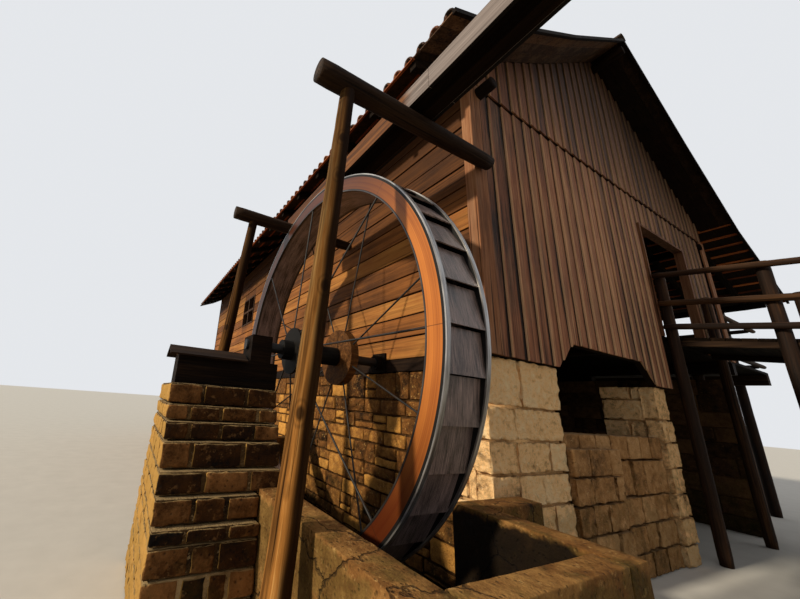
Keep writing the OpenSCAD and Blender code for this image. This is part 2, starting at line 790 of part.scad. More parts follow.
// Wheel
module on_shaft() {
    translate([-wheel_x, wheel_y, wheel_z]) rotate([0, 90, 0]) children();
}
module tube(z0, z1, r_in, r_out) {
    translate([0, 0, z0]) difference() {
        cylinder(h = z1 - z0, r = r_out, $fn = 180);
        translate([0, 0, -1]) cylinder(h = z1 - z0 + 2, r = r_in, $fn = 180);
    }
}
module on_rings() {
    for (z = [-wheel_w / 2, wheel_w / 2 - ring_t]) translate([0, 0, z]) children();
}
module wheel_shrouds() {
    part(ring_c) on_shaft() on_rings() tube(0, ring_t, drum_r + hoop_t, wheel_r - hoop_t);
}
module wheel_hoops() {
    part(iron_c) on_shaft() on_rings() {
        tube(0, ring_t, drum_r, drum_r + hoop_t);
        tube(0, ring_t, wheel_r - hoop_t, wheel_r);
    }
}
drum_w = wheel_w - 2 * ring_t;
drum_r = wheel_r - ring_w;
// One bucket: a short board on the drum and a slanting board to the rim
bucket_a = 360 / bucket_n;
// How far the buckets' lips lie inside the rings' edges
bucket_in = 8;
// The angle of a length measured along the rim
function along_rim(l) = l / wheel_r * 180 / PI;
function polar(r, a) = [r * cos(a), r * sin(a)];
module bucket() {
    foot = drum_r + sole_t / 2;
    knee = drum_r + bucket_knee;
    lip = wheel_r - bucket_in;
    lip_a = bucket_a - along_rim(bucket_gap);
    t_a = along_rim(bucket_t);
    polygon([polar(foot, 0), polar(knee, 0), polar(lip, lip_a), polar(lip - bucket_t, lip_a),
        polar(knee - bucket_t, t_a), polar(foot, t_a)]);
}
module wheel_drum() {
    part(wet_c) on_shaft() translate([0, 0, -drum_w / 2]) union() {
        tube(0, drum_w, drum_r, drum_r + sole_t);
        for (i = [0:bucket_n - 1]) rotate([0, 0, i * bucket_a]) linear_extrude(drum_w) bucket();
    }
}
// Spokes run from the flanges, which stand outside the rings, in to the rings
spoke_r0 = flange_r - spoke_in;
spoke_r1 = drum_r + spoke_past;
module spoke(z0, z1) {
    translate([spoke_r0, 0, z0]) rotate([0, 90 - atan2(z1 - z0, spoke_r1 - spoke_r0), 0])
        cylinder(h = norm([z1 - z0, spoke_r1 - spoke_r0]), r = spoke_r, $fn = 24);
}
module flanges() {
    tube(-flange_out - flange_t / 2, -flange_out + flange_t / 2, shaft_r + seat, flange_r);
    tube(flange_in - nave_t / 2, flange_in + nave_t / 2, shaft_r + seat, nave_r);
}
module wheel_spokes() {
    ring_z = (wheel_w - ring_t) / 2;
    part(iron_c) on_shaft() difference() {
        for (i = [0:spoke_n - 1]) {
            rotate([0, 0, i * 360 / spoke_n]) spoke(-flange_out, -ring_z);
            rotate([0, 0, (i + 0.5) * 360 / spoke_n]) spoke(flange_in, ring_z);
        }
        flanges();
        tube(-wheel_w, wheel_w, drum_r - seat, wheel_r);
    }
}
module wheel_hub() {
    part(iron_c) on_shaft() union() {
        flanges();
        tube(-flange_out - hub_out, flange_in + hub_past, shaft_r + seat, hub_r);
    }
}
shaft_out = block_x0 - shaft_r / 2;
shaft_in = sill_w + 2 * shaft_r;
module wheel_shaft() {
    part(iron_c) translate([shaft_out, wheel_y, wheel_z]) rotate([0, 90, 0])
        cylinder(h = shaft_in - shaft_out, r = shaft_r, $fn = 96);
}

pit_floor();
pit_outer_wall();
pit_end_walls();
pit_inner_wall();
bearing_pier();
bearing_beam();
wheel_bearings();
side_stone_wall();
gable_stone_left();
gable_stone_right();
passage_steps();
rear_stone_wall();
support_posts();
sill_beams();
floor();
side_plank_wall();
gable_wall_left();
gable_wall_right();
gable_wall_at_door();
gable_upper();
rear_gable_wall();
east_wall();
wall_plates();
door_frame();
window_frame();
roof_west();
roof_east();
ridge_cap();
rafters();
verge_boards();
veranda_floor();
veranda_railing();
footbridge_deck();
footbridge_posts();
footbridge_rails();
flume_floor();
flume_sides();
trestle_posts();
trestle_beams();
wheel_shrouds();
wheel_hoops();
wheel_drum();
wheel_spokes();
wheel_hub();
wheel_shaft();
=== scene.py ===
import math
import random

import bpy
import numpy as np
from mathutils import Matrix, Vector, noise


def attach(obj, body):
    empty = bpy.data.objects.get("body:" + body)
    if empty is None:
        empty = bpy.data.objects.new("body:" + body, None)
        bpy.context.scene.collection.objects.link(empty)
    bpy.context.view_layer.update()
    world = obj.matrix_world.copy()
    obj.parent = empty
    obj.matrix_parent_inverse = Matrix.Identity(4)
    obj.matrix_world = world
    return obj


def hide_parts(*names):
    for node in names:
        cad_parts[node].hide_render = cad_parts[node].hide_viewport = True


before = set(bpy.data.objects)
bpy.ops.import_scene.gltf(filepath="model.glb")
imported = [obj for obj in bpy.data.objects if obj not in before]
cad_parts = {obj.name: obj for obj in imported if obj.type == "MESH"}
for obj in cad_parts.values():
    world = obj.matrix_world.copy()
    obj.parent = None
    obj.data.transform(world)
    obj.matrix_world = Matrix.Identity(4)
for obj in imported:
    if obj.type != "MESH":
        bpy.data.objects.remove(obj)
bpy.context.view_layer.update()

# The house frame is in millimetres: x along the gable, y back, z up, the corner by the wheel at 0, 0
SHIFT = np.array((-4120.0, -4822.35, 0.0))

# Walls, floors and openings
HOUSE_W, HOUSE_L = 8000, 13500
STONE_H, SIDE_STONE_H, EAST_STONE_H, STONE_T = 2380, 2240, 2820, 450
SILL_TOP, GIRDER_Z, GIRDER_W = 2398, 2950, 180
FLOOR_H, FLOOR_LOW = 3250, 3190
WALL_T, PLANK_T, CORNER_W = 110, 30, 220
INNER0, INNER1 = 75, HOUSE_L - 75
LAP, TIER_LAP, TIER_H, TIER_GAP = 35, 25, 5920, 16
PASS_X, PASS_END, PASS_RISE, PASS_RUN = 1330, 3950, 320, 370
PASS_PIER_W, PASS_PIER_L = 420, 720
DOOR_X, DOOR_END, DOOR_TOP = 4580, 6580, 5370
WINDOW = (8050, 9200, 4100, 5050)
OPEN_BAY, VERANDA_X = 2400, 10620
POST_YS = [500 + 2650 * i for i in range(5)]
RAIL_HEIGHTS = (150, 550, 1050)
BRIDGE_X0, BRIDGE_X1, BRIDGE_Y, BRIDGE_T = 4765, 6765, -4350.3, 50

# Roof: runs are measured level from the ridge
MID_X, KNEE, FLARE = 4000, 2100, 4270
EAVE_W, EAVE_E, VERGE = -860, 11070, 570
ROOF_T, RAFTER_D = 90, 130
PITCH_TOP, PITCH_MID, PITCH_W, PITCH_E = (math.radians(a) for a in (34.2, 31.7, 24.5, 20.9))
RIDGE_H = 8970
KNEE_Z = round(RIDGE_H - KNEE * math.tan(PITCH_TOP), 1)
FLARE_Z = round(KNEE_Z - (FLARE - KNEE) * math.tan(PITCH_MID), 1)

# Wheel, pit and flume
WHEEL = np.array((-1042.0, 1621.0, 2369.0))
WHEEL_R, WHEEL_W, RING_W, RIM_BLACK = 2247, 463, 193, 34
NAVE_X = -4.88
PIT_TOP, PIT_Y0, PIT_Y1 = 1065, -1145, 4318
PIT_INSIDE = ((-1792, -558), (-982, 4080))
TRESTLE_YS = (-2833.6, -143.6, 2546.4)
FLUME_Y0, FLUME_Y1, FLUME_SEAM_Y = -3103.6, 2816.4, -450
FLUME_BROWN_Y = -4.972


def roof_at(x):
    """Height of the tiles' top at x."""
    d = abs(x - MID_X)
    if d <= KNEE:
        return RIDGE_H - d * math.tan(PITCH_TOP)
    if d <= FLARE:
        return KNEE_Z - (d - KNEE) * math.tan(PITCH_MID)
    return FLARE_Z - (d - FLARE) * math.tan(PITCH_W if x < MID_X else PITCH_E)


def under_roof(x):
    return roof_at(x) - ROOF_T - 6


def under_rafters(x):
    return roof_at(x) - ROOF_T - RAFTER_D


def flume_at(y):
    return 4704 - (y + 143.6) * 0.014


def deck_at(y):
    """Height of the falling footbridge at y."""
    return FLOOR_H + (y + LAP) * 0.145


# Materials
def lin(hexa):
    """A hex colour as linear RGBA."""
    c = [int(hexa[i:i + 2], 16) / 255 for i in (1, 3, 5)]
    return tuple(v / 12.92 if v <= 0.04045 else ((v + 0.055) / 1.055) ** 2.4 for v in c) + (1.0,)


class Nodes:
    """Short calls that add nodes to a tree."""

    def __init__(self, tree):
        self.tree = tree
        tree.nodes.clear()

    def put(self, kind, ins=None, **props):
        n = self.tree.nodes.new("ShaderNode" + kind)
        for k, v in props.items():
            setattr(n, k, v)
        for k, v in (ins or {}).items():
            self.feed(n.inputs[k], v)
        return n

    def feed(self, socket, v):
        if isinstance(v, bpy.types.NodeSocket):
            self.tree.links.new(v, socket)
        else:
            socket.default_value = v

    def math(self, op, a, b=0.0, c=0.0):
        return self.put("Math", {0: a, 1: b, 2: c}, operation=op).outputs[0]


class Mat(Nodes):
    """A material with one principled shader."""

    def __init__(self, name):
        self.m = bpy.data.materials.new(name)
        self.m.use_nodes = True
        super().__init__(self.m.node_tree)
        self.bsdf = self.put("BsdfPrincipled")
        self.put("OutputMaterial", {0: self.bsdf.outputs[0]})

    def coords(self, order=None):
        """Grain coordinates of a built piece, or the object's own in an order that ends along the grain."""
        if order is None:
            return self.put("Attribute", attribute_name="grain").outputs["Vector"]
        o = self.put("TexCoord").outputs["Object"]
        if order == "xyz":
            return o
        parts = {i: self.part(o, "xyz".index(a)) for i, a in enumerate(order)}
        return self.put("CombineXYZ", parts).outputs[0]

    def part(self, vec, axis):
        return self.put("SeparateXYZ", {0: vec}).outputs[axis]

    def facing(self, axis):
        """How far the surface faces along an axis, from -1 to 1."""
        return self.part(self.put("NewGeometry").outputs["Normal"], axis)

    def tone(self):
        return self.put("Attribute", attribute_name="tone").outputs["Fac"]

    def scaled(self, vec, s):
        return self.put("VectorMath", {0: vec, 1: s}, operation="MULTIPLY").outputs[0]

    def noise(self, vec, s, detail=3.0, rough=0.55, warp=0.0):
        if isinstance(s, tuple):
            vec, s = self.scaled(vec, s), 1.0
        ins = {"Vector": vec, "Scale": s, "Detail": detail, "Roughness": rough, "Distortion": warp}
        return self.put("TexNoise", ins).outputs["Fac"]

    def voronoi(self, vec, s, feature="F1"):
        if isinstance(s, tuple):
            vec, s = self.scaled(vec, s), 1.0
        return self.put("TexVoronoi", {"Vector": vec, "Scale": s}, feature=feature).outputs["Distance"]

    def total(self, *terms):
        """Sum of socket * weight terms, the last a plain number."""
        out = terms[-1]
        for sock, w in terms[:-1]:
            out = self.math("MULTIPLY_ADD", sock, w, out)
        return out

    def step(self, v, lo, hi):
        """A soft step from 0 at lo to 1 at hi."""
        return self.put("MapRange", {0: v, 1: lo, 2: hi}, interpolation_type="SMOOTHSTEP").outputs[0]

    def ramp(self, fac, *stops):
        n = self.put("ValToRGB", {0: fac})
        e = n.color_ramp.elements
        while len(e) < len(stops):
            e.new(0.5)
        for k, (pos, col) in zip(e, stops):
            k.position = pos
            k.color = lin(col)
        return n.outputs[0]

    def mix(self, fac, a, b):
        a, b = (lin(v) if isinstance(v, str) else v for v in (a, b))
        return self.put("Mix", {0: fac, 6: a, 7: b}, data_type="RGBA").outputs[2]

    def tint(self, col, mask, amount, paint):
        """The colour with paint over it where the mask is 1."""
        return self.mix(self.math("MULTIPLY", mask, amount), col, paint)

    def shade(self, col, rough, height=None, bump=0.5, dist=0.01, **plain):
        """Finishes the shader: plain holds settings that are the same all over."""
        self.feed(self.bsdf.inputs["Base Color"], col)
        self.feed(self.bsdf.inputs["Roughness"], rough)
        for k, v in plain.items():
            self.bsdf.inputs[k.replace("_", " ")].default_value = v
        if height is not None:
            b = self.put("Bump", {"Strength": bump, "Distance": dist, "Height": height})
            self.feed(self.bsdf.inputs["Normal"], b.outputs[0])
        return self.m


def wood(name, dark, mid, light, order=None, grey=None, spread=0.5, fibres=0.6, bands=0.5, streaks=0.0,
         knots=0.0, edge=None, painted_far_shade=0.0, shade_x=None, shade_z=None, shade=0.7, bump=0.5, shine=0.2):
    """Weathered timber: fibres, bands and cracks along the grain, patches across it.

    edge tints faces toward the wheel side with a painted highlight, and the far-side setting paints shade on
    the faces away from it; shade_z paints shade on the timber upward and shade_x toward the veranda."""
    s = Mat(name)
    v, o = s.coords(order), s.coords("xyz")
    fibre = s.noise(v, (70, 70, 2.2), 5, 0.65)
    band = s.noise(v, (13, 13, 0.7), 3, 0.5, 0.8)
    patch = s.noise(o, 0.9, 4, 0.6)
    terms = [(fibre, fibres), (band, bands), (patch, 0.35)]
    base = 0.325 - fibres / 2 - bands / 2
    if order is None:
        terms.append((s.tone(), spread))
        base -= spread / 2
    col = s.ramp(s.total(*terms, base), (0.24, dark), (0.5, mid), (0.78, light))
    if grey:
        col = s.tint(col, s.step(s.noise(v, (6, 6, 0.8), 4, 0.6), 0.48, 0.7), 0.6, grey)
    if streaks:
        col = s.tint(col, s.step(s.noise(v, (9, 9, 0.35), 4, 0.6), 0.47, 0.6), streaks, dark)
    crack = s.step(s.noise(v, (34, 34, 0.45), 2, 0.4), 0.37, 0.30)
    col = s.tint(col, crack, 0.8, dark)
    if knots:
        d = s.voronoi(v, (knots, knots, knots * 0.62))
        ring = s.step(s.math("ABSOLUTE", s.math("SUBTRACT", d, 0.26)), 0.07, 0.0)
        col = s.tint(col, s.step(d, 0.21, 0.1), 0.85, dark)
        col = s.tint(col, ring, 0.3, dark)
    # painted highlight: faces toward the wheel side take the pale edge colour
    if edge:
        col = s.tint(col, s.step(s.facing(0), -0.4, -0.8), 0.8, edge)
    # painted shade on the faces away from the wheel side, where the sun doesn't reach
    if painted_far_shade:
        away = s.total((s.facing(0), 1.0), (fibre, 0.3), (patch, 0.5), -0.4)
        col = s.tint(col, s.step(away, -0.6, 0.0), painted_far_shade, dark)
    # painted shade toward the veranda and upward
    if shade_x:
        col = s.tint(col, s.step(s.part(o, 0), *shade_x), 0.4, dark)
    if shade_z:
        up = s.total((s.part(o, 2), 1.0), (patch, 0.6), -0.3)
        col = s.tint(col, s.step(up, *shade_z), shade, dark)
    height = s.total((fibre, 0.5), (band, 0.3), (crack, -0.9), 0.0)
    return s.shade(col, s.total((fibre, -0.25), (patch, 0.2), 0.8), height, bump, 0.006,
                   Specular_IOR_Level=shine)


def stone(name, dark, mid, light, fleck, moss=0.0, moss_z=(0.2, 1.6), scale=1.0, tone=0.34, dust=None,
          painted_sunlight=None, wet_shade_z=None, cracks=0.0):
    """Rough stone with pits and stains; dust lies on top faces, and faces toward the wheel side are paler as
    painted sunlight.
    """
    s = Mat(name)
    v, o = s.coords(), s.coords("xyz")
    big = s.noise(o, 1.3 * scale, 4, 0.6)
    rough = s.noise(v, 9 * scale, 6, 0.62)
    fine = s.noise(v, 70 * scale, 4, 0.7)
    pit = s.voronoi(v, 34 * scale)
    f = s.total((rough, 0.6), (big, 0.5), (fine, 0.25), (s.tone(), tone), -0.17 - tone / 2)
    col = s.ramp(f, (0.25, dark), (0.48, mid), (0.72, light))
    col = s.tint(col, s.step(s.noise(v, 24 * scale, 3, 0.7), 0.58, 0.7), 0.5, fleck)
    col = s.tint(col, s.step(pit, 0.22, 0.08), 0.55, dark)
    # dust on the top faces; painted sunlight on the faces toward the wheel side
    for axis, sign, cover in ((2, 1.0, dust), (0, -1.0, painted_sunlight)):
        if cover:
            lies = s.total((s.facing(axis), sign), (rough, 0.6), -0.3)
            col = s.tint(col, s.step(lies, 0.5, 0.85), 0.75, cover)
    if moss:
        low = s.step(s.part(o, 2), moss_z[1], moss_z[0])
        grown = s.step(s.total((s.noise(o, 4, 5, 0.65), 1.0), (low, 0.25), -0.1), 0.5, 0.62)
        col = s.tint(col, grown, moss, s.ramp(s.noise(o, 40, 3), (0.3, "#26230c"), (0.7, "#4f4a1e")))
    # the pit's inner faces below the rim go near black: wet stone, darkened further as painted shade
    if wet_shade_z:
        wet = s.total((s.part(o, 2), 1.0), (s.noise(o, 5, 4, 0.6), 0.16), -0.08)
        wet = s.step(wet, wet_shade_z[1], wet_shade_z[0])
        for axis, sides in enumerate(PIT_INSIDE):
            for side, way in zip(sides, (1, -1)):
                at = (side + SHIFT[axis]) / 1000
                wet = s.math("MULTIPLY", wet, s.step(s.part(o, axis), at - 0.02 * way, at))
        col = s.tint(col, wet, 0.96, "#0b0502")
    height = s.total((rough, 1.0), (fine, 0.35), (s.step(pit, 0.3, 0.1), -0.25), 0.0)
    if cracks:
        wander = s.put("TexNoise", {"Vector": o, "Scale": 9.0, "Detail": 4.0}).outputs["Color"]
        warped = {0: o, 1: s.scaled(wander, (0.16, 0.16, 0.16))}
        cells = s.voronoi(s.put("VectorMath", warped, operation="ADD").outputs[0], 0.8, "DISTANCE_TO_EDGE")
        line = s.step(cells, 0.008, 0.001)
        col = s.tint(col, line, cracks, dark)
        height = s.total((height, 1.0), (line, -0.8), 0.0)
    return s.shade(col, s.total((fine, 0.2), 0.78), height, 0.9, 0.03, Specular_IOR_Level=0.15)


def tiles_mat():
    """Clay with pale lichen and black stains."""
    s = Mat("clay_tiles")
    v, o = s.coords(), s.coords("xyz")
    n = s.noise(v, 16, 5, 0.6)
    fine = s.noise(v, 90, 3, 0.6)
    f = s.total((n, 0.5), (s.noise(o, 0.7, 4, 0.6), 0.55), (s.tone(), 0.5), (fine, 0.2), -0.38)
    col = s.ramp(f, (0.2, "#241812"), (0.45, "#4f3324"), (0.62, "#7a4a30"), (0.8, "#a06a45"))
    col = s.tint(col, s.step(s.noise(o, 11, 5, 0.7), 0.57, 0.68), 0.55, "#6f6757")
    col = s.tint(col, s.step(s.noise(o, 2.4, 4, 0.6), 0.5, 0.66), 0.6, "#1c1713")
    return s.shade(col, s.total((fine, 0.2), 0.72), s.total((n, 0.7), (fine, 0.4), 0.0), 0.5, 0.006)


def ring_coords(s):
    """Coordinates along the wheel's radius, shaft and rim, with the angle and the radius."""
    hub = tuple((WHEEL + SHIFT) / 1000)
    from_hub = s.put("VectorMath", {0: s.coords("xyz"), 1: hub}, operation="SUBTRACT").outputs[0]
    x, y, z = s.put("SeparateXYZ", {0: from_hub}).outputs
    angle = s.math("ARCTAN2", z, y)
    radius = s.math("SQRT", s.math("ADD", s.math("MULTIPLY", y, y), s.math("MULTIPLY", z, z)))
    # the angle without its sign, so that its jump doesn't show
    along = s.math("MULTIPLY", s.math("ABSOLUTE", angle), 2.2)
    return s.put("CombineXYZ", {0: radius, 1: x, 2: along}).outputs[0], angle, radius


def rim_mat():
    """Varnished boards bent round the wheel, black along both edges and inside; paler toward the front as
    painted light, darker at the top and bottom as painted shade.
    """
    s = Mat("wheel_rim")
    v, angle, r = ring_coords(s)
    fibre = s.noise(v, (120, 60, 0.5), 5, 0.6)
    band = s.noise(v, (30, 10, 0.2), 3, 0.5, 0.4)
    patch = s.noise(v, (3, 3, 0.9), 3, 0.5)
    upright = s.math("SINE", angle)
    # painted light: the rim is paler toward the front
    f = s.total((fibre, 0.45), (band, 0.5), (patch, 0.5), (s.math("COSINE", angle), -0.45), -0.38)
    col = s.ramp(f, (0.2, "#2f1306"), (0.5, "#853e15"), (0.86, "#d08038"))
    # painted shade at the bottom and at the top of the rim
    col = s.tint(col, s.step(upright, -0.05, -0.7), 0.93, "#421304")
    col = s.tint(col, s.step(upright, 0.25, 0.9), 0.8, "#40200f")
    seam = s.math("ABSOLUTE", s.math("SINE", s.math("MULTIPLY", angle, 4.0)))
    seam = s.step(seam, 0.009, 0.003)
    col = s.tint(col, seam, 0.6, "#2a1308")
    outer = s.step(r, (WHEEL_R - RIM_BLACK - 3) / 1000, (WHEEL_R - RIM_BLACK) / 1000)
    inner = s.step(r, (WHEEL_R - RING_W + 20) / 1000, (WHEEL_R - RING_W + 16) / 1000)
    aside = s.math("ABSOLUTE", s.part(v, 1))
    inside = s.step(aside, WHEEL_W / 2000 - 0.0005, WHEEL_W / 2000 - 0.0015)
    black = s.math("MAXIMUM", s.math("MAXIMUM", outer, inner), inside)
    col = s.mix(black, col, "#0a0706")
    return s.shade(col, s.total((fibre, 0.25), (black, 0.2), 0.3), s.total((fibre, 0.4), (seam, -1.0), 0.0),
                   0.2, 0.003, Specular_IOR_Level=0.25)


def wet_mat():
    """Wet black boards with fine pale streaks that run round the wheel."""
    s = Mat("wet_timber")
    v = ring_coords(s)[0]
    streak = s.noise(v, (40, 260, 1.6), 5, 0.75)
    patch = s.noise(v, (5, 9, 2.5), 4, 0.6)
    col = s.ramp(s.total((streak, 0.8), (patch, 0.4), -0.1), (0.4, "#0f0c0b"), (0.62, "#a8918c"))
    rough = s.total((streak, 0.4), (patch, 0.2), 0.08)
    return s.shade(col, rough, s.total((streak, 0.8), (patch, 0.3), 0.0), 0.4, 0.004)


def iron_mat():
    """Dull black iron with rust."""
    s = Mat("wheel_iron")
    o = s.coords("xyz")
    n = s.noise(o, 18, 5, 0.65)
    fine = s.noise(o, 120, 3, 0.6)
    rust = s.step(s.noise(o, 7, 5, 0.65), 0.5, 0.66)
    col = s.ramp(s.total((n, 0.6), (fine, 0.4), 0.0), (0.35, "#070605"), (0.65, "#1a1613"))
    col = s.tint(col, rust, 0.7, "#2e1b10")
    return s.shade(col, s.total((n, 0.3), (rust, 0.2), 0.45), s.total((fine, 0.6), (n, 0.4), 0.0), 0.4, 0.003,
                   Metallic=0.1)


def hoop_mat():
    """Worn bright iron at the outer edge of the wheel, dull at the inner one."""
    s = Mat("hoop_iron")
    v, _, r = ring_coords(s)
    n = s.noise(v, (40, 60, 3), 4, 0.6)
    inner = s.step(r, (WHEEL_R - RING_W + 40) / 1000, (WHEEL_R - RING_W + 30) / 1000)
    col = s.tint(s.ramp(n, (0.35, "#6a6868"), (0.65, "#b9b6b4")), inner, 0.8, "#1c1612")
    return s.shade(col, s.total((n, 0.3), 0.25), n, 0.2, 0.002, Metallic=0.8)


def flume_mat():
    """Boards bleached grey outside with rusty stains, brown where they pass over the wheel, and near black
    underneath as painted shade.
    """
    s = Mat("flume_boards")
    v, o = s.coords(), s.coords("xyz")
    fibre = s.noise(v, (70, 70, 1.6), 5, 0.65)
    band = s.noise(v, (16, 16, 0.5), 3, 0.5, 0.6)
    f = s.total((fibre, 0.6), (band, 0.6), -0.1)
    bleached = s.ramp(f, (0.3, "#3f3735"), (0.5, "#7d7371"), (0.75, "#a59b99"))
    brown = s.ramp(f, (0.3, "#1a0e07"), (0.5, "#573319"), (0.75, "#935f31"))
    stain = s.noise(o, (2, 1.1, 2), 4, 0.6)
    near = s.total((s.part(o, 1), 1.0), (stain, 1.0), -0.5)
    near = s.step(near, FLUME_BROWN_Y - 0.1, FLUME_BROWN_Y + 0.1)
    spots = s.math("MULTIPLY", s.step(stain, 0.6, 0.66), 0.8)
    col = s.mix(s.math("MAXIMUM", near, spots), bleached, brown)
    # painted shade: faces that look down go near black
    col = s.mix(s.step(s.facing(2), -0.4, -0.8), col, "#0b0705")
    return s.shade(col, s.total((fibre, -0.2), 0.8), f, 0.4, 0.004, Specular_IOR_Level=0.2)


def hub_mat():
    """Black iron outside, brown wood in the nave beside the wall."""
    s = Mat("wheel_hub")
    o = s.coords("xyz")
    n = s.noise(o, (3, 30, 30), 5, 0.65)
    f = s.total((n, 0.7), (s.noise(o, 90, 3, 0.6), 0.3), 0.0)
    metal = s.ramp(f, (0.35, "#060504"), (0.65, "#1f1c19"))
    timber = s.ramp(f, (0.3, "#1f1209"), (0.5, "#553519"), (0.72, "#8a6038"))
    col = s.mix(s.step(s.part(o, 0), NAVE_X - 0.002, NAVE_X), metal, timber)
    return s.shade(col, s.total((n, 0.3), 0.5), f, 0.4, 0.004, Specular_IOR_Level=0.1)


def water_mat():
    """Dark still water with low ripples."""
    s = Mat("still_water")
    o = s.coords("xyz")
    col = s.ramp(s.noise(o, 2.5, 3), (0.35, "#0b0c09"), (0.7, "#191a12"))
    return s.shade(col, 0.07, s.noise(o, (5, 5, 1), 3, 0.5, 0.6), 0.12, 0.02)


M = {
    # gable boards: the edge colour is a painted highlight, and shade_z and shade_x paint shade upward and
    # toward the veranda
    "gable": wood("gable_boards", "#170c07", "#8f5c43", "#cf9c76", grey="#8f6b52", spread=0.45,
                  shade_z=(4.8, 7.8), shade=0.78, shade_x=(-1.5, 3.5), edge="#f0c8a0"),
    "corner": wood("corner_boards", "#1c0f09", "#8a5a3c", "#b08462", grey="#8a6a52", spread=0.15),
    # side planks: the dark streaks are painted shadow of leaves, and shade_z paints the eaves' shade on the
    # upper rows
    "plank": wood("wall_planks", "#2b1507", "#935c2d", "#c88f49", spread=0.35, fibres=0.25, bands=0.25,
                  streaks=0.35, shade_z=(4.3, 5.8), shade=0.85),
    # trestle posts: painted shade on the side away from the sun and toward the top
    "log": wood("peeled_logs", "#1a0d05", "#b47a3c", "#f6ca84", knots=5.2, spread=0.2, bump=1.0, streaks=0.7,
                shine=0.06, painted_far_shade=0.94, shade_z=(0.9, 3.7), shade=0.8),
    "dark": wood("dark_timber", "#070403", "#1b100a", "#37271a", spread=0.3, shine=0.1),
    "rail": wood("dark_logs", "#0a0503", "#2b190d", "#5f4126", spread=0.3, streaks=0.5),
    "log_end": wood("log_ends", "#0a0603", "#1f140b", "#4a3420", spread=0.1),
    # roof battens: shade_z paints shade toward the ridge
    "batten": wood("roof_battens", "#120703", "#80401f", "#c4713c", spread=0.4, shade_z=(6.1, 6.7),
                   shade=0.95),
    "soffit": wood("soffit_boards", "#0d0704", "#3d2717", "#77563b", grey="#66503d", spread=0.3),
    "deck": wood("deck_boards", "#040202", "#0e0805", "#21160e", spread=0.3, shine=0.04),
    "dark_xy": wood("dark_timber_y", "#070403", "#1b100a", "#37271a", order="xzy", shine=0.1),
    "dark_xz": wood("dark_timber_z", "#0f0804", "#3a2415", "#6a4a2e", order="xyz"),
    "dark_x": wood("dark_timber_x", "#050302", "#130b06", "#2e2014", order="yzx", shine=0.08),
    "frame": wood("frame_timber", "#170c07", "#6e4730", "#9c7250", order="xyz"),
    "stone_g": stone("gable_stone", "#5a3c24", "#ffd095", "#ffe4b8", "#fff0cf", moss=0.3, scale=1.7, tone=0.1,
                     dust="#b89468"),
    "stone_s": stone("side_stone", "#1c1007", "#7d5228", "#cf964a", "#dcb06a", moss=0.2, moss_z=(0.2, 1.4)),
    # a darker copy of the stone, painted shade for the east base wall
    "stone_d": stone("shaded_stone", "#140c06", "#4a3420", "#6e5236", "#7a5f40", moss=0.3),
    # pier stone: the side toward the wheel is paler as painted sunlight
    "pier": stone("pier_stone", "#0b0502", "#43280f", "#96683c", "#8f6a42", moss=0.15, moss_z=(0.2, 0.9),
                  scale=0.62, dust="#a98f62", painted_sunlight="#c69a52"),
    "step": stone("step_stone", "#3a2817", "#a87c4e", "#cfa574", "#dcb88a", moss=0.3, tone=0.2,
                  dust="#a88660"),
    # pit concrete: wet inside below the rim, and darkened further there as painted shade
    "pit": stone("pit_concrete", "#140b05", "#7a532b", "#b58a50", "#c9a368", moss=0.5, moss_z=(0.9, 1.2),
                 scale=0.8, tone=0.2, wet_shade_z=(1.01, 1.06), cracks=0.6),
    "mortar": stone("mortar", "#8f6b47", "#dcb17c", "#f0d0a0", "#f4dcb4", scale=1.5, tone=0.1),
    "mortar_p": stone("pier_mortar", "#1a1008", "#5c4529", "#b49a70", "#c2ab82", scale=0.9, dust="#a89068"),
    # damp mortar; on the east base wall it also serves as painted shade
    "mortar_d": stone("damp_and_shaded_mortar", "#160d06", "#4a3118", "#7a5a34", "#8a6a42", scale=1.5),
    "flume": flume_mat(),
    "tile": tiles_mat(),
    "rim": rim_mat(),
    "wet": wet_mat(),
    "hoop": hoop_mat(),
    "iron": iron_mat(),
    "hub": hub_mat(),
    "water": water_mat(),
}


# Mesh building
def place(name, data):
    """Puts an object with this data in the scene."""
    ob = bpy.data.objects.new(name, data)
    bpy.context.scene.collection.objects.link(ob)
    return ob


class Piece:
    """Points in millimetres in the house frame, each with a grain coordinate in metres and a tone."""

    def __init__(self, name, seed):
        self.name, self.rnd = name, random.Random(seed)
        self.co, self.faces, self.grain, self.tones, self.slots, self.n = [], [], [], [], [], 0

    def add(self, verts, faces, grain=None, along=2, tone=None, slot=0):
        verts = np.asarray(verts, float)
        rnd = self.rnd
        off = np.array([rnd.uniform(0, 40) for _ in range(3)])
        if grain is None:
            grain = verts[:, [i for i in range(3) if i != along] + [along]] / 1000
        self.co.append(verts)
        self.grain.append(np.asarray(grain) + off)
        self.tones.append(np.full(len(verts), rnd.random() if tone is None else tone))
        self.faces += [tuple(self.n + k for k in f) for f in faces]
        self.slots += [slot] * len(faces)
        self.n += len(verts)

    def build(self, mats, replaces=(), slot=None, bevel=0, smooth=False):
        me = bpy.data.meshes.new(self.name)
        co = (np.concatenate(self.co) + SHIFT) / 1000
        me.from_pydata(co.tolist(), [], self.faces)
        for name, kind, key, rows in (("grain", "FLOAT_VECTOR", "vector", self.grain),
                                      ("tone", "FLOAT", "value", self.tones)):
            values = np.concatenate(rows).astype(np.float32).ravel()
            me.attributes.new(name, kind, "POINT").data.foreach_set(key, values)
        for m in mats:
            me.materials.append(M[m])
        me.polygons.foreach_set("material_index", self.slots)
        me.polygons.foreach_set("use_smooth", [smooth] * len(me.polygons))
        me.update()
        ob = place(self.name, me)
        if bevel:
            b = ob.modifiers.new("edges", "BEVEL")
            b.width, b.segments, b.limit_method, b.angle_limit = bevel / 1000, 2, "ANGLE", 0.7
        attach(ob, "mill")
        for node in replaces:
            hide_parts(node)


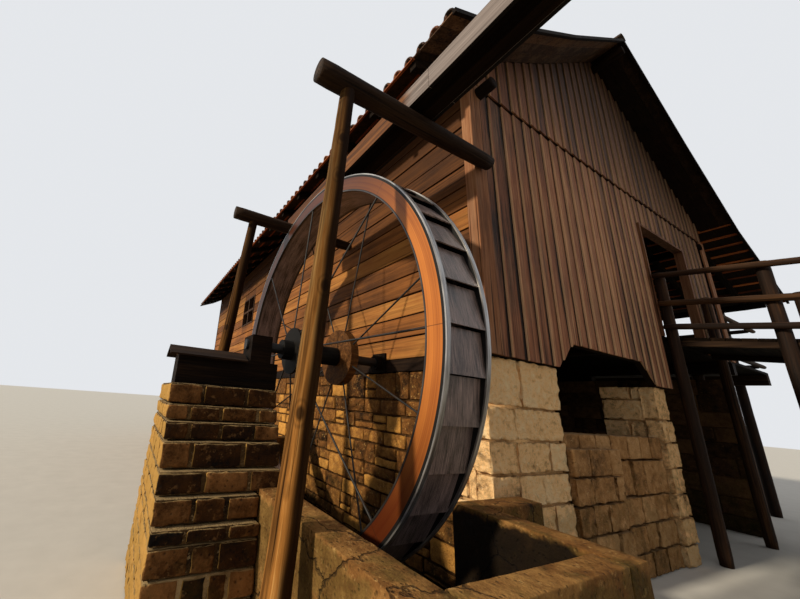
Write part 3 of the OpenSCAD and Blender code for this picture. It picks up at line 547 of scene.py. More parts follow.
BOX = [(0, 3, 2, 1), (4, 5, 6, 7), (0, 1, 5, 4), (1, 2, 6, 5), (2, 3, 7, 6), (3, 0, 4, 7)]


def flipped(faces):
    return [f[::-1] for f in faces]


def sloped_box(p, xs, ys, low, high, **kw):
    """A box between two x and two y, whose lower and upper heights are pairs, one for each y."""
    corners = ((0, 0), (1, 0), (1, 1), (0, 1))
    p.add([(xs[i], ys[j], z[j]) for z in (low, high) for i, j in corners], BOX, **kw)


def box(p, lo, hi, **kw):
    (x0, y0, z0), (x1, y1, z1) = lo, hi
    sloped_box(p, (x0, x1), (y0, y1), (z0, z0), (z1, z1), **kw)


def lattice(lo, hi, cells, edge):
    """Cut positions along one axis, with a line beside each end for the rounded edge."""
    n = max(1, cells)
    inner = [lo + edge + (hi - lo - 2 * edge) * i / n for i in range(n + 1)]
    return [lo] + inner + [hi]


def rough_block(p, lo, hi, cell, edge, amp, freq=1 / 90, slot=0):
    """A block with rounded edges and a rough surface that stays inside its box."""
    axes = [lattice(lo[k], hi[k], round((hi[k] - lo[k] - 2 * edge) / cell), edge) for k in range(3)]
    index, verts, faces = {}, [], []
    seed = Vector([p.rnd.uniform(0, 90) for _ in range(3)])
    rim = Vector((edge, edge, edge))
    inner_lo, inner_hi = Vector(lo) + rim, Vector(hi) - rim

    def vert(*key):
        if key not in index:
            q = Vector([axis[i] for axis, i in zip(axes, key)])
            c = Vector([min(max(q[a], inner_lo[a]), inner_hi[a]) for a in range(3)])
            d = q - c
            if d.length > 0:
                f = 0.5 + 0.5 * noise.noise(q * freq + seed) + 0.35 * noise.noise(q * freq * 3.1 + seed)
                q = c + d.normalized() * (edge - amp * min(max(f, 0.0), 1.2))
            index[key] = len(verts)
            verts.append(tuple(q))
        return index[key]

    for a in range(3):
        b, c = (a + 1) % 3, (a + 2) % 3
        for side in (0, len(axes[a]) - 1):
            for i in range(len(axes[b]) - 1):
                for j in range(len(axes[c]) - 1):
                    quad = []
                    for di, dj in ((0, 0), (1, 0), (1, 1), (0, 1)):
                        k = [0, 0, 0]
                        k[a], k[b], k[c] = side, i + di, j + dj
                        quad.append(vert(*k))
                    faces.append(tuple(quad if side else quad[::-1]))
    p.add(verts, faces, slot=slot)


def stone_face(p, axis, out, face, u0, u1, z1, depth, course=(150, 260), length=(230, 480), joint=12,
               amp=9, edge=14, cell=75, split=0.0, freq=1 / 90, slot=0):
    """A face of rough stones up to z1; axis and out give its outward direction, u runs along it."""
    rnd = p.rnd
    half = joint / 2
    z = 0
    row = 0
    while z < z1 - 20:
        h = rnd.uniform(*course)
        if z1 - z - h < course[0] * 0.7:
            h = z1 - z
        u = u0 - (rnd.uniform(0, length[0]) if row % 2 else 0)
        while u < u1 - 5:
            end = u + rnd.uniform(*length)
            if u1 - end < length[0] * 0.6:
                end = u1
            a = max(u, u0)
            if end - a > 40:
                lo, hi = [0, 0, 0], [0, 0, 0]
                lo[1 - axis], hi[1 - axis] = a + (half if a > u0 else 0), end - (half if end < u1 else 0)
                low, high = z + (half if z > 0 else 0), z + h - (half if z + h < z1 else 0)
                layers = [(low, high)]
                if split and h > 210 and rnd.random() < split:
                    middle = low + (high - low) * rnd.uniform(0.35, 0.65)
                    layers = [(low, middle - half), (middle + half, high)]
                for lo[2], hi[2] in layers:
                    front = face - out * rnd.uniform(0, amp * 0.8)
                    lo[axis], hi[axis] = sorted((front, front - out * depth))
                    rough_block(p, lo, hi, cell, edge, amp, freq, slot)
            u = end
        z += h
        row += 1


def log(p, a, b, r1, r2, seg=16, step=130, amp=0.05, knots=0, tone=None, end_slot=0):
    """A round log whose radius runs from r1 to r2 and wanders a little inside them."""
    a, b = Vector(a), Vector(b)
    axis = b - a
    length = axis.length
    w = axis.normalized()
    u = w.cross(Vector((0, 1, 0)) if abs(w.y) < 0.9 else Vector((1, 0, 0))).normalized()
    v = w.cross(u)
    rings = max(4, int(length / step) + 1)
    rnd = p.rnd
    seed = Vector([rnd.uniform(0, 60) for _ in range(3)])
    bumps = [(rnd.uniform(0.05, 0.95) * length, rnd.uniform(0, 2 * math.pi)) for _ in range(knots)]
    rnd.random()  # keeps the draws that follow as they are
    verts, grain = [], []
    for i in range(rings):
        t = i / (rings - 1)
        chamfer = 6 if i in (0, rings - 1) else 0
        for k in range(seg):
            th = 2 * math.pi * k / seg
            d = Vector((math.cos(th), math.sin(th), t * length / 400))
            dip = amp * (0.5 + 0.5 * noise.noise(d * 1.1 + seed) + 0.3 * noise.noise(d * 3 + seed))
            r = r1 + (r2 - r1) * t
            rr = r * (1 - dip) - chamfer
            for pos, ang in bumps:
                da = (th - ang + math.pi) % (2 * math.pi) - math.pi
                rr += r * 0.055 * math.exp(-((pos - t * length) / 55) ** 2 - (da / 0.45) ** 2)
            verts.append(tuple(a + axis * t + (u * math.cos(th) + v * math.sin(th)) * rr))
            grain.append((rr * math.cos(th) / 1000, rr * math.sin(th) / 1000, t * length / 1000))
    faces = []
    for i in range(rings - 1):
        for k in range(seg):
            k2 = (k + 1) % seg
            faces.append((i * seg + k, i * seg + k2, (i + 1) * seg + k2, (i + 1) * seg + k))
    p.add(verts, faces, grain=grain, tone=tone)
    n0 = p.n - len(verts)
    p.faces += [tuple(range(n0, n0 + seg))[::-1], tuple(range(p.n - seg, p.n))]
    p.slots += [end_slot] * 2


def tube(rings, flip=False):
    """Faces of a closed tube through rings of four points."""
    faces = []
    for a in range(0, 4 * rings - 4, 4):
        for k in range(4):
            n = (k + 1) % 4
            quad = (a + k, a + n, a + 4 + n, a + 4 + k)
            faces.append(quad[:1] + quad[:0:-1] if flip else quad)
    ends = [(3, 2, 1, 0), tuple(range(4 * rings - 4, 4 * rings))]
    return faces + (flipped(ends) if flip else ends)


# Gables
BOARD_PITCH, BOARD_T, BOARD_RISE, BOARD_OVER = 230, 22, 27, 14
BREAKS = sorted((PASS_X, PASS_X + PASS_RUN, PASS_END - PASS_RUN, PASS_END, MID_X - KNEE, MID_X, MID_X + KNEE))


def board(p, x0, x1, low, high, y0, y1, t, tone=None, slot=0, worn=False):
    """An upright board across the gable: its front goes from y0 at its left edge to y1 at its right.

    worn paints a highlight on the left edge and shade on the covered right edge."""
    xs = [x0] + [b for b in BREAKS if x0 + 1 < b < x1 - 1] + [x1]
    # painted highlight at the left edge and painted shade at the covered right edge
    if worn:
        cuts = [x0 + 0.16 * (x1 - x0), x1 - 0.28 * (x1 - x0)]
        xs = sorted(xs + [c for c in cuts if all(abs(c - x) > 2 for x in xs)])
        base = 0.5 + 0.6 * (p.rnd.random() - 0.5)
        tone = np.repeat(base + np.interp(xs, [x0] + cuts + [x1], [0.7, 0.0, 0.0, -0.9]), 4)
    verts = []
    for x in xs:
        y = y0 + (y1 - y0) * (x - x0) / (x1 - x0)
        verts += [(x, y, low(x)), (x, y + t, low(x)), (x, y + t, high(x)), (x, y, high(x))]
    p.add(verts, tube(len(xs)), tone=tone, slot=slot)


def lapped(p, x0, x1, low, high, y, cuts=None, rear=False):
    """Boards whose left edges lie over their neighbours' right ones; rear is for the back gable."""
    rnd = p.rnd
    if cuts is None:
        n = round((x1 - x0) / BOARD_PITCH)
        cuts = [x0 + (x1 - x0) * i / n + (rnd.uniform(-0.1, 0.1) * BOARD_PITCH if 0 < i < n else 0)
                for i in range(n + 1)]
    for a, b in zip(cuts, cuts[1:]):
        lift = rnd.uniform(0, 7)
        rise = BOARD_RISE * rnd.uniform(0.85, 1.0)
        fronts = (y - rise, y, -BOARD_T) if rear else (y, y + rise, BOARD_T)
        # each board gets the painted edge highlight and shade
        board(p, a, min(b + BOARD_OVER, x1), lambda x: low(x) + lift, high, *fronts, worn=True)


def slab(p, x0, x1, low, high, y0, y1):
    """The board behind the lapped ones, dark as painted shade where it shows between them."""
    board(p, x0, x1, low, high, y0, y0, y1 - y0, tone=0.3, slot=1)


def level(z):
    """A board end at the same height all along."""
    return lambda x: z


def passage_low(x):
    """Lower edge of the boards, which rises over the passage."""
    d = min(x - PASS_X, PASS_END - x)
    return STONE_H + min(max(d, 0) / PASS_RUN, 1) * PASS_RISE


FRONT_CUTS = [221, 432, 718, 980, 1219, 1429, 1653, 1891, 2108, 2345, 2582, 2795, 3030, 3245, 3480, 3700,
              3925, 4150, 4365, 4580]
TIER, BELOW_TIER = level(TIER_H), level(TIER_H - TIER_GAP)
UPPER_Y = -LAP - TIER_LAP
CORNER_TOP = TIER_H - 4
BOARDS = dict(slot="gable_boards", bevel=3)

p = Piece("gable_boards_left", 1)
slab(p, 24, DOOR_X, passage_low, TIER, -5, INNER0)
box(p, (0, UPPER_Y, STONE_H), (CORNER_W, -LAP + 2, CORNER_TOP), slot=2)
box(p, (0, -LAP + 3, STONE_H), (23, INNER0 - 1, CORNER_TOP), slot=2)
lapped(p, CORNER_W, DOOR_X, passage_low, BELOW_TIER, -LAP, FRONT_CUTS)
p.build(["gable", "dark", "corner"], ["gable_wall_left"], **BOARDS)

p = Piece("gable_boards_right", 2)
slab(p, DOOR_END, HOUSE_W, level(FLOOR_LOW), TIER, -5, INNER0)
box(p, (HOUSE_W - CORNER_W, UPPER_Y, FLOOR_LOW), (HOUSE_W, -LAP + 2, CORNER_TOP), slot=2)
lapped(p, DOOR_END, HOUSE_W - CORNER_W, level(FLOOR_LOW), BELOW_TIER, -LAP)
p.build(["gable", "dark", "corner"], ["gable_wall_right"], **BOARDS)

p = Piece("gable_boards_at_door", 3)
slab(p, DOOR_X, DOOR_END, level(DOOR_TOP), TIER, -5, INNER0)
lapped(p, DOOR_X, DOOR_END, level(DOOR_TOP), BELOW_TIER, -LAP)
p.build(["gable", "dark"], ["gable_wall_at_door"], **BOARDS)

p = Piece("gable_boards_upper", 4)
slab(p, 0, HOUSE_W, TIER, under_roof, UPPER_Y + 30, INNER0 - TIER_LAP)
lapped(p, 0, HOUSE_W, TIER, under_roof, UPPER_Y)
p.build(["gable", "dark"], ["gable_upper"], **BOARDS)

p = Piece("rear_gable_boards", 5)
slab(p, 0, HOUSE_W, level(STONE_H), under_roof, INNER1, HOUSE_L + 5)
lapped(p, 0, HOUSE_W, level(STONE_H), lambda x: min(under_roof(x), TIER_H - TIER_GAP), HOUSE_L + LAP - 6,
       rear=True)
lapped(p, 0, HOUSE_W, TIER, under_roof, HOUSE_L + LAP, rear=True)
p.build(["gable", "dark"], ["rear_gable_wall"], **BOARDS)


# Side walls
def planked(p, face, out, y0, y1, z0, z1, hole):
    """Level planks with butt joints on the posts, cut round the window."""
    rnd = p.rnd
    hole_y0, hole_y1, hole_z0, hole_z1 = hole
    n = round((z1 - z0) / 280)
    h = (z1 - z0) / n
    for i in range(n):
        low, high = z0 + i * h + 11, z0 + (i + 1) * h - 11
        joints = [y0] + [y for y in POST_YS[1:] if y0 < y < y1 and (i + y // 50) % 2] + [y1]
        for a, b in zip(joints, joints[1:]):
            spans = [(a, b, low, high)]
            if high > hole_z0 and low < hole_z1:
                spans = []
                if a < hole_y0:
                    spans.append((a, min(b, hole_y0), low, high))
                if b > hole_y1:
                    spans.append((max(a, hole_y1), b, low, high))
                if (low < hole_z0 or high > hole_z1) and min(b, hole_y1) > max(a, hole_y0):
                    rest = (low, hole_z0) if low < hole_z0 else (hole_z1, high)
                    spans.append((max(a, hole_y0), min(b, hole_y1)) + rest)
            tone = rnd.random()
            for s0, s1, q0, q1 in spans:
                if q1 - q0 < 8:
                    continue
                d = rnd.uniform(0, 10)
                front, back = sorted((face - out * d, face - out * (d + PLANK_T)))
                box(p, (front, s0 + 2, q0), (back, s1 - 2, q1), along=1, tone=tone)
                if (s0, s1) != (a, b):
                    tone = rnd.random()


def backing(p, x0, x1, y0, y1, z0, z1, hole):
    """The wall behind the planks, dark as painted shade where it shows between them."""
    a, b, c, d = hole
    around = [(y0, a, z0, z1), (b, y1, z0, z1), (a, b, z0, c), (a, b, d, z1)]
    for a, b, c, d in [(y0, y1, z0, z1)] if hole == NO_HOLE else around:
        box(p, (x0, a, c), (x1, b, d), along=1, slot=1, tone=0.2)


NO_HOLE = (0, 0, 0, 0)
for seed, name, node, face, out, y0, z0, hole in (
        (6, "side_planks", "side_plank_wall", 0, -1, INNER0, SILL_TOP, WINDOW),
        (7, "east_planks", "east_wall", HOUSE_W, 1, OPEN_BAY, GIRDER_Z, NO_HOLE)):
    p = Piece(name, seed)
    back, front = sorted((face - out * PLANK_T, face - out * WALL_T))
    backing(p, back, front, y0, INNER1, z0, under_rafters(0), hole)
    planked(p, face, out, y0, INNER1, z0, under_rafters(0), hole)
    p.build(["plank", "dark"], [node], "wall_planks", bevel=5)

# Masonry: each wall has a core, set back behind its stones
CORE_IN, REAR_CORE_IN, CORE_DOWN = 62, 48, 22
GABLE_DEPTH, FAR_DEPTH, INNER_DEPTH = 200, 110, 60
GABLE_COURSES = dict(amp=30, edge=16, cell=32, course=(270, 350), joint=1, freq=1 / 62)
SIDE_COURSES = dict(amp=22, edge=22, cell=65, course=(170, 330), length=(240, 620), joint=7, split=0.4)
FAR_COURSES = dict(amp=22, edge=16, cell=90, course=(270, 350), length=(380, 760), joint=2)
END_COURSES = dict(FAR_COURSES, length=(260, 300))
INNER_COURSES = dict(FAR_COURSES, amp=10, cell=220)

for seed, name, node, x0, x1, y1, front_length, side_length in (
        (8, "gable_stones_left", "gable_stone_left", 0, PASS_X, STONE_T, (420, 760), (240, 260)),
        (9, "gable_stones_right", "gable_stone_right", PASS_END, PASS_END + PASS_PIER_W, PASS_PIER_L,
         (420, 430), (260, 520))):
    p = Piece(name, seed)
    box(p, (x0 + CORE_IN, CORE_IN, 0), (x1 - CORE_IN, y1 - CORE_IN, STONE_H - CORE_DOWN), slot=1)
    stone_face(p, 1, -1, 0, x0, x1, STONE_H, GABLE_DEPTH, length=front_length, **GABLE_COURSES)
    for out, x in ((-1, x0), (1, x1)):
        stone_face(p, 0, out, x, GABLE_DEPTH, y1, STONE_H, GABLE_DEPTH, length=side_length, **GABLE_COURSES)
    p.build(["stone_g", "mortar"], [node], "gable_stone", smooth=True)

p = Piece("step_stones", 10)
for y0, y1, top, x1 in ((60, 330, 1645, PASS_END), (-35, 59, 1490, PASS_X + 1100)):
    x = PASS_X
    while x < x1 - 10:
        end = x + p.rnd.uniform(280, 470)
        if x1 - end < 200:
            end = x1
        rough_block(p, (x + 3, y0, top - 300), (end - 3, y1, top), 42, 22, 22)
        x = end
    stone_face(p, 1, -1, y0, PASS_X, x1, top - 303, y1 - y0, length=(300, 560), **GABLE_COURSES)
p.build(["step", "mortar"], ["passage_steps"], "gable_stone", smooth=True)

p = Piece("side_stones", 11)
box(p, (46, STONE_T, 0), (426, HOUSE_L - STONE_T, SIDE_STONE_H - 12), slot=1)
stone_face(p, 0, -1, 0, STONE_T, HOUSE_L - STONE_T, SIDE_STONE_H, 130, **SIDE_COURSES)
stone_face(p, 0, 1, STONE_T, STONE_T, HOUSE_L - STONE_T, SIDE_STONE_H, INNER_DEPTH, amp=8, joint=14, cell=200)
p.build(["stone_s", "mortar_d"], ["side_stone_wall"], "side_stone", smooth=True)

p = Piece("rear_stones", 12)
box(p, (REAR_CORE_IN, HOUSE_L - STONE_T + REAR_CORE_IN, 0),
    (HOUSE_W - REAR_CORE_IN, HOUSE_L - REAR_CORE_IN, STONE_H - CORE_DOWN), slot=1)
stone_face(p, 1, 1, HOUSE_L, 0, HOUSE_W, STONE_H, 130, **FAR_COURSES)
stone_face(p, 1, -1, HOUSE_L - STONE_T, 0, HOUSE_W, STONE_H, INNER_DEPTH, **INNER_COURSES)
stone_face(p, 0, -1, 0, HOUSE_L - 385, HOUSE_L - 115, STONE_H, FAR_DEPTH, **END_COURSES)
# the base wall under the east side, in darker stone and mortar as painted shade
box(p, (HOUSE_W - STONE_T + REAR_CORE_IN, INNER0 + REAR_CORE_IN, 0),
    (HOUSE_W - REAR_CORE_IN, INNER1 - REAR_CORE_IN, EAST_STONE_H - CORE_DOWN), slot=3)
stone_face(p, 0, 1, HOUSE_W, INNER0, INNER1, EAST_STONE_H, FAR_DEPTH, slot=2, **FAR_COURSES)
stone_face(p, 0, -1, HOUSE_W - STONE_T, INNER0, INNER1, EAST_STONE_H, INNER_DEPTH, slot=2, **INNER_COURSES)
stone_face(p, 1, -1, INNER0, HOUSE_W - 385, HOUSE_W - 115, EAST_STONE_H, FAR_DEPTH, slot=2, **END_COURSES)
p.build(["stone_g", "mortar", "stone_d", "mortar_d"], ["rear_stone_wall"], "gable_stone", smooth=True)

# Pier
COURSES = [175, 130, 145, 200, 170, 175, 105]
PIER_X, PIER_X_ABOVE_PIT, PIER_X_BESIDE_PIT, PIER_TOP = -2830, -1830, -2030, 1854


def uneven(rnd, lo, hi, n):
    """Cuts from lo to hi into n lengths that differ by up to a half."""
    sizes = [rnd.uniform(0.7, 1.4) for _ in range(n)]
    return [lo + (hi - lo) * sum(sizes[:k]) / sum(sizes) for k in range(n + 1)]


p = Piece("pier_blocks", 13)
rnd = p.rnd
top = PIER_TOP
for i in range(8):
    low = top - COURSES[i] if i < 7 else 0
    run = min(i, 6)
    y0, y1 = 910 - 63 * run, 1900 + 70 * run
    x1 = PIER_X_ABOVE_PIT if low > PIT_TOP - 120 else PIER_X_BESIDE_PIT
    parts = math.ceil(top / 190) if low == 0 else 1
    for j in range(parts):
        z0, z1 = low + (top - low) * j / parts, low + (top - low) * (j + 1) / parts
        rough_block(p, (PIER_X + 16, y0 + 16, z0), (x1 - 16, y1 - 16, z1 - 2), 60, 10, 8, slot=1)
        nx, ny = rnd.choice((3, 4)), rnd.choice((4, 5))
        cx = uneven(rnd, PIER_X, x1, nx)
        cy = uneven(rnd, y0, y1, ny)
        for a in range(nx):
            for b in range(ny):
                if 0 < a < nx - 1 and 0 < b < ny - 1 and i > 0:
                    continue
                g0, g1, sink = rnd.uniform(2, 9), rnd.uniform(2, 10), rnd.uniform(2, 12)
                lo = (cx[a] + (g0 if a else 0), cy[b] + (g0 if b else 0), z0 + (1 if z0 else 0))
                hi = (cx[a + 1] - (g1 if a < nx - 1 else 0), cy[b + 1] - (g1 if b < ny - 1 else 0), z1 - sink)
                rough_block(p, lo, hi, 34, 22, 20, freq=1 / 55)
    top = low
p.build(["pier", "mortar_p"], ["bearing_pier"], "pier_stone", smooth=True)

p = Piece("beam_cap_boards", 36)
CAP_Y, CAP_HALF, CAP_EAVE, CAP_RIDGE, CAP_T = 1621, 225, 2134, 2235, 18
for side in (-1, 1):
    eave = CAP_Y + side * CAP_HALF
    profile = ((eave, CAP_EAVE), (CAP_Y, CAP_RIDGE), (CAP_Y, CAP_RIDGE + CAP_T), (eave, CAP_EAVE + CAP_T))
    verts = [(x, y, z) for x in (-2829, -2020) for y, z in profile]
    faces = [(0, 1, 2, 3), (7, 6, 5, 4), (0, 4, 5, 1), (1, 5, 6, 2), (2, 6, 7, 3), (3, 7, 4, 0)]
    p.add(verts, faces if side > 0 else flipped(faces), along=0)
for x0 in (-2738, -2062):
    verts = [(x, y, z) for x in (x0, x0 + 22)
             for y, z in ((CAP_Y - 158, 2159), (CAP_Y + 158, 2159), (CAP_Y, CAP_RIDGE - 3))]
    p.add(verts, [(0, 2, 1), (3, 4, 5), (0, 1, 4, 3), (1, 2, 5, 4), (2, 0, 3, 5)], slot=1)
p.build(["dark", "corner"], slot="dark_timber")

# Pit: each wall by its plan, from x0, y0 to x1, y1
for seed, name, plans in (
        (14, "pit_outer_wall", [(-2030, PIT_Y0, -1780, PIT_Y1)]),
        (15, "pit_end_walls", [(-1779, PIT_Y0, -571, -970), (-1779, 4068, 0, PIT_Y1)]),
        (16, "pit_inner_wall", [(-570, PIT_Y0, -350, 0), (-351, -220, 332, 0)])):
    p = Piece(name + "_worn", seed)
    for x0, y0, x1, y1 in plans:
        rough_block(p, (x0, y0, 0), (x1, y1, PIT_TOP), 70, 10, 7, freq=1 / 190)
    p.build(["pit"], [name], "pit_concrete", smooth=True)

p = Piece("pit_water", 17)
for x1, y0, y1 in ((-571, -969, 0), (-1, 0, 4067)):
    box(p, (-1779, y0, 91), (x1, y1, 112))
p.build(["water"], slot="wet_timber")


# Decks and rails
def deck(p, lo, hi, along, pitch, seg=3900, slope=None):
    """Floor boards side by side between two corners; slope gives the height at y for a falling deck."""
    across = 1 - along
    n = round((hi[across] - lo[across]) / pitch)
    w = (hi[across] - lo[across]) / n
    for i in range(n):
        cuts = [lo[along]]
        s = lo[along] + (seg if i % 2 else seg * 0.5)
        while s < hi[along] - 500:
            cuts.append(s)
            s += seg
        cuts.append(hi[along])
        for a, b in zip(cuts, cuts[1:]):
            top = FLOOR_H - p.rnd.uniform(0, 3)
            spans = [(a + 1.5, b - 1.5), (a + 1.5, b - 1.5)]
            spans[across] = (lo[across] + i * w + 2.5, lo[across] + (i + 1) * w - 2.5)
            low, high = [FLOOR_LOW] * 2, [top] * 2
            if slope:
                high = [slope(y) for y in spans[1]]
                low = [z - BRIDGE_T for z in high]
            sloped_box(p, *spans, low, high, along=along)


p = Piece("house_floor", 18)
deck(p, (WALL_T, INNER0), (HOUSE_W - WALL_T, INNER1), 1, 200)
deck(p, (HOUSE_W - WALL_T, INNER0), (HOUSE_W, OPEN_BAY), 1, 110)
deck(p, (DOOR_X, -LAP), (DOOR_END, INNER0 - 2), 0, 108)
for x in (110, 4070, 7710):
    box(p, (x, INNER0, GIRDER_Z), (x + GIRDER_W, INNER1, FLOOR_LOW - 1), along=1, slot=1)
p.build(["deck", "dark"], ["floor"], "wall_planks", bevel=4)

p = Piece("veranda_boards", 19)
deck(p, (HOUSE_W, 0), (VERANDA_X, HOUSE_L), 1, 190)
for x in (HOUSE_W, VERANDA_X - GIRDER_W):
    box(p, (x, 0, GIRDER_Z), (x + GIRDER_W, HOUSE_L, FLOOR_LOW - 1), along=1, slot=1)
p.build(["deck", "dark"], ["veranda_floor"], "wall_planks", bevel=4)

p = Piece("footbridge_boards", 20)
deck(p, (BRIDGE_X0, BRIDGE_Y), (BRIDGE_X1, -LAP), 0, 150, seg=9000, slope=deck_at)
tops = [deck_at(BRIDGE_Y), deck_at(-LAP)]
for x in (BRIDGE_X0, BRIDGE_X1 - 90):
    sloped_box(p, (x, x + 90), (BRIDGE_Y, -LAP), [z - 140 for z in tops], [z - BRIDGE_T for z in tops],
               along=1, slot=1)
p.build(["deck", "dark"], ["footbridge_deck"], "wall_planks", bevel=4)

LOGS = dict(slot="dark_timber", smooth=True)
FIRST_POST_Y = -110.3
p = Piece("bridge_posts_logs", 21)
for x in (4689.7, 6840.3):
    for i in range(5):
        y = FIRST_POST_Y - 1060 * i
        log(p, (x, y, 0), (x, y, deck_at(y) + 1120), 75, 73)
p.build(["rail"], ["footbridge_posts"], **LOGS)

p = Piece("bridge_rail_logs", 22)
y0, y1 = FIRST_POST_Y + 37.5, BRIDGE_Y - 37.5
for x in (4564.4, 6965.6):
    for h in RAIL_HEIGHTS:
        log(p, (x, y0, deck_at(y0) + h), (x, y1, deck_at(y1) + h), 50, 48, seg=12)
p.build(["rail"], ["footbridge_rails"], **LOGS)

EAVE_LOG_X, PLATE_R, PLATE_Z = 10715, 85, 5790
p = Piece("veranda_rail_logs", 23)
for z in (FLOOR_H + h for h in RAIL_HEIGHTS):
    log(p, (10570, 100.3, z), (10570, HOUSE_L, z), 50, 49, seg=12)
    log(p, (HOUSE_W, 50, z), (EAVE_LOG_X, 50, z), 50, 49, seg=12)
p.build(["rail"], ["veranda_railing"], **LOGS)

p = Piece("support_logs", 24)
ridge_z = under_rafters(MID_X) - PLATE_R / math.cos(PITCH_TOP)
eave_z = under_rafters(EAVE_LOG_X) - PLATE_R / math.cos(PITCH_E)
for y in POST_YS:
    if y == POST_YS[0]:
        log(p, (7900, y, EAST_STONE_H), (7900, y, GIRDER_Z), 95, 92)
    log(p, (10715.3, y, 0), (10715.3, y, eave_z - PLATE_R), 95, 90)
    if y > POST_YS[0]:
        log(p, (4160, y, 0), (4160, y, GIRDER_Z), 95, 92)
p.build(["rail"], ["support_posts"], **LOGS)

p = Piece("plate_logs", 25)
for x, z, front, over in ((195.3, PLATE_Z, -260, 260), (7804.7, PLATE_Z, -60, 260),
                          (MID_X, ridge_z, -530, 530), (EAVE_LOG_X, eave_z, -260, 260)):
    log(p, (x, front, z), (x, HOUSE_L + over, z), PLATE_R, PLATE_R - 1, seg=20, amp=0.03, step=400)
p.build(["deck"], ["wall_plates"], **LOGS)

# Flume and trestles
p = Piece("trestle_beam_logs", 26)
for y in TRESTLE_YS:
    top = flume_at(y) - 0.3
    log(p, (-2175, y, top - 105), (135 if y < 0 else -4, y, top - 82), 105, 82, seg=20, amp=0.03, end_slot=1)
p.build(["dark", "log_end"], ["trestle_beams"], **LOGS)

p = Piece("trestle_post_logs", 27)
PEELED = dict(seg=24, step=70, amp=0.07)
for y in TRESTLE_YS:
    log(p, (-2270, y - 75, 0), (-1860, y, flume_at(y) - 150), 92, 70, knots=9, tone=0.55, **PEELED)
y = TRESTLE_YS[0]
log(p, (0, y - 75, 0), (-410, y, flume_at(y) - 130), 92, 70, knots=7, **PEELED)
p.build(["log"], ["trestle_posts"], "peeled_logs", smooth=True)


def flume_board(p, x0, x1, y0, y1, height):
    low = [flume_at(y0), flume_at(y1)]
    sloped_box(p, (x0, x1), (y0, y1), low, [z + height for z in low], along=1)


p = Piece("flume_boards", 28)
for x in (-1160, -840):
    flume_board(p, x, x + 40, FLUME_Y0, FLUME_SEAM_Y - 1, 232)
    flume_board(p, x, x + 40, FLUME_SEAM_Y + 1, FLUME_Y1, 232)
p.build(["flume"], ["flume_sides"], "gable_boards", bevel=4)

p = Piece("flume_bottom", 29)
for x in (-1119, -979):
    flume_board(p, x, x + 138, FLUME_Y0, FLUME_Y1, 40)
p.build(["deck"], ["flume_floor"], "gable_boards", bevel=4)

# Roof
SLOPE_PITCH, TILE_COLUMNS, TILE_LAP, TILE_T = 330, 73, 40, 13
RIDGE_TILES, RIDGE_BASE = 42, 8906
TILES_Y = (-VERGE + 1, HOUSE_L + VERGE - 1)


def slope_path(side):
    """Points down one slope in x and z, from the ridge to the eave, its length and its rows of tiles."""
    end = EAVE_W if side < 0 else EAVE_E
    path = [(x, roof_at(x)) for x in (MID_X, MID_X + side * KNEE, MID_X + side * FLARE, end)]
    total = sum(math.hypot(b[0] - a[0], b[1] - a[1]) for a, b in zip(path, path[1:]))
    return path, total, math.ceil(total / SLOPE_PITCH)


def along_path(path, s):
    """The point at a distance down the slope, and the direction there."""
    for (x0, z0), (x1, z1) in zip(path, path[1:]):
        ln = math.hypot(x1 - x0, z1 - z0)
        if s <= ln or (x1, z1) == path[-1]:
            run, fall = x1 - x0, z1 - z0
            return np.array((x0 + run * s / ln, 0, z0 + fall * s / ln)), np.array((run / ln, 0, fall / ln))
        s -= ln


def shell(segs, half, r_low, r_high, thick, length, flip, lift):
    """A thin half-barrel: closed, r_low at its lower end, r_high at its upper end."""
    verts, faces = [], []
    for end, r in ((0, r_low), (1, r_high)):
        for rr in (r, r - thick):
            for k in range(segs + 1):
                a = -half + 2 * half * k / segs
                h = rr * math.cos(a) - r_low * math.cos(half)
                verts.append((rr * math.sin(a), -length * end, (-h if flip else h) - lift * end))
    n = segs + 1
    for k in range(segs):
        faces += [(a + k, a + k + 1, b + k + 1, b + k)
                  for a, b in ((0, 2 * n), (3 * n, n), (n, 0), (2 * n, 3 * n))]
    faces += [(0, 2 * n, 3 * n, n), (n + segs, 3 * n + segs, 2 * n + segs, segs)]
    return np.array(verts), flipped(faces) if flip else faces


def tiled(p, side):
    """Rows of channel tiles with cap tiles over their edges."""
    path, total, rows = slope_path(side)
    pitch = total / rows
    width = (HOUSE_L + 2 * VERGE) / TILE_COLUMNS
    kinds = (shell(4, 1.0, 88, 80, TILE_T, pitch + TILE_LAP, True, 14) + (-33,),
             shell(6, 1.25, 76, 66, TILE_T, pitch + TILE_LAP, False, 14) + (-58,))
    for row in range(rows):
        s = (row + 1) * pitch
        low, d = along_path(path, s)
        if s > pitch + TILE_LAP:
            high, _ = along_path(path, s - pitch - TILE_LAP)
            d = (low - high) / np.linalg.norm(low - high)
        normal = np.array((-d[2], 0, d[0])) * side
        for col in range(1, TILE_COLUMNS * 2):
            v, faces, base = kinds[col % 2]
            across = v[:, 0] + v[:, 1] * p.rnd.uniform(-0.02, 0.02)
            pts = low + v[:, 1:2] * d + (v[:, 2:3] + base - p.rnd.uniform(0, 3)) * normal
            pts[:, 1] = np.clip(-VERGE + col * width / 2 + across, *TILES_Y)
            p.add(pts, faces, along=0)


for seed, name, side in ((30, "roof_west", -1), (31, "roof_east", 1)):
    p = Piece(name + "_tiles", seed)
    tiled(p, side)
    p.build(["tile"], [name], "clay_tiles", smooth=True)


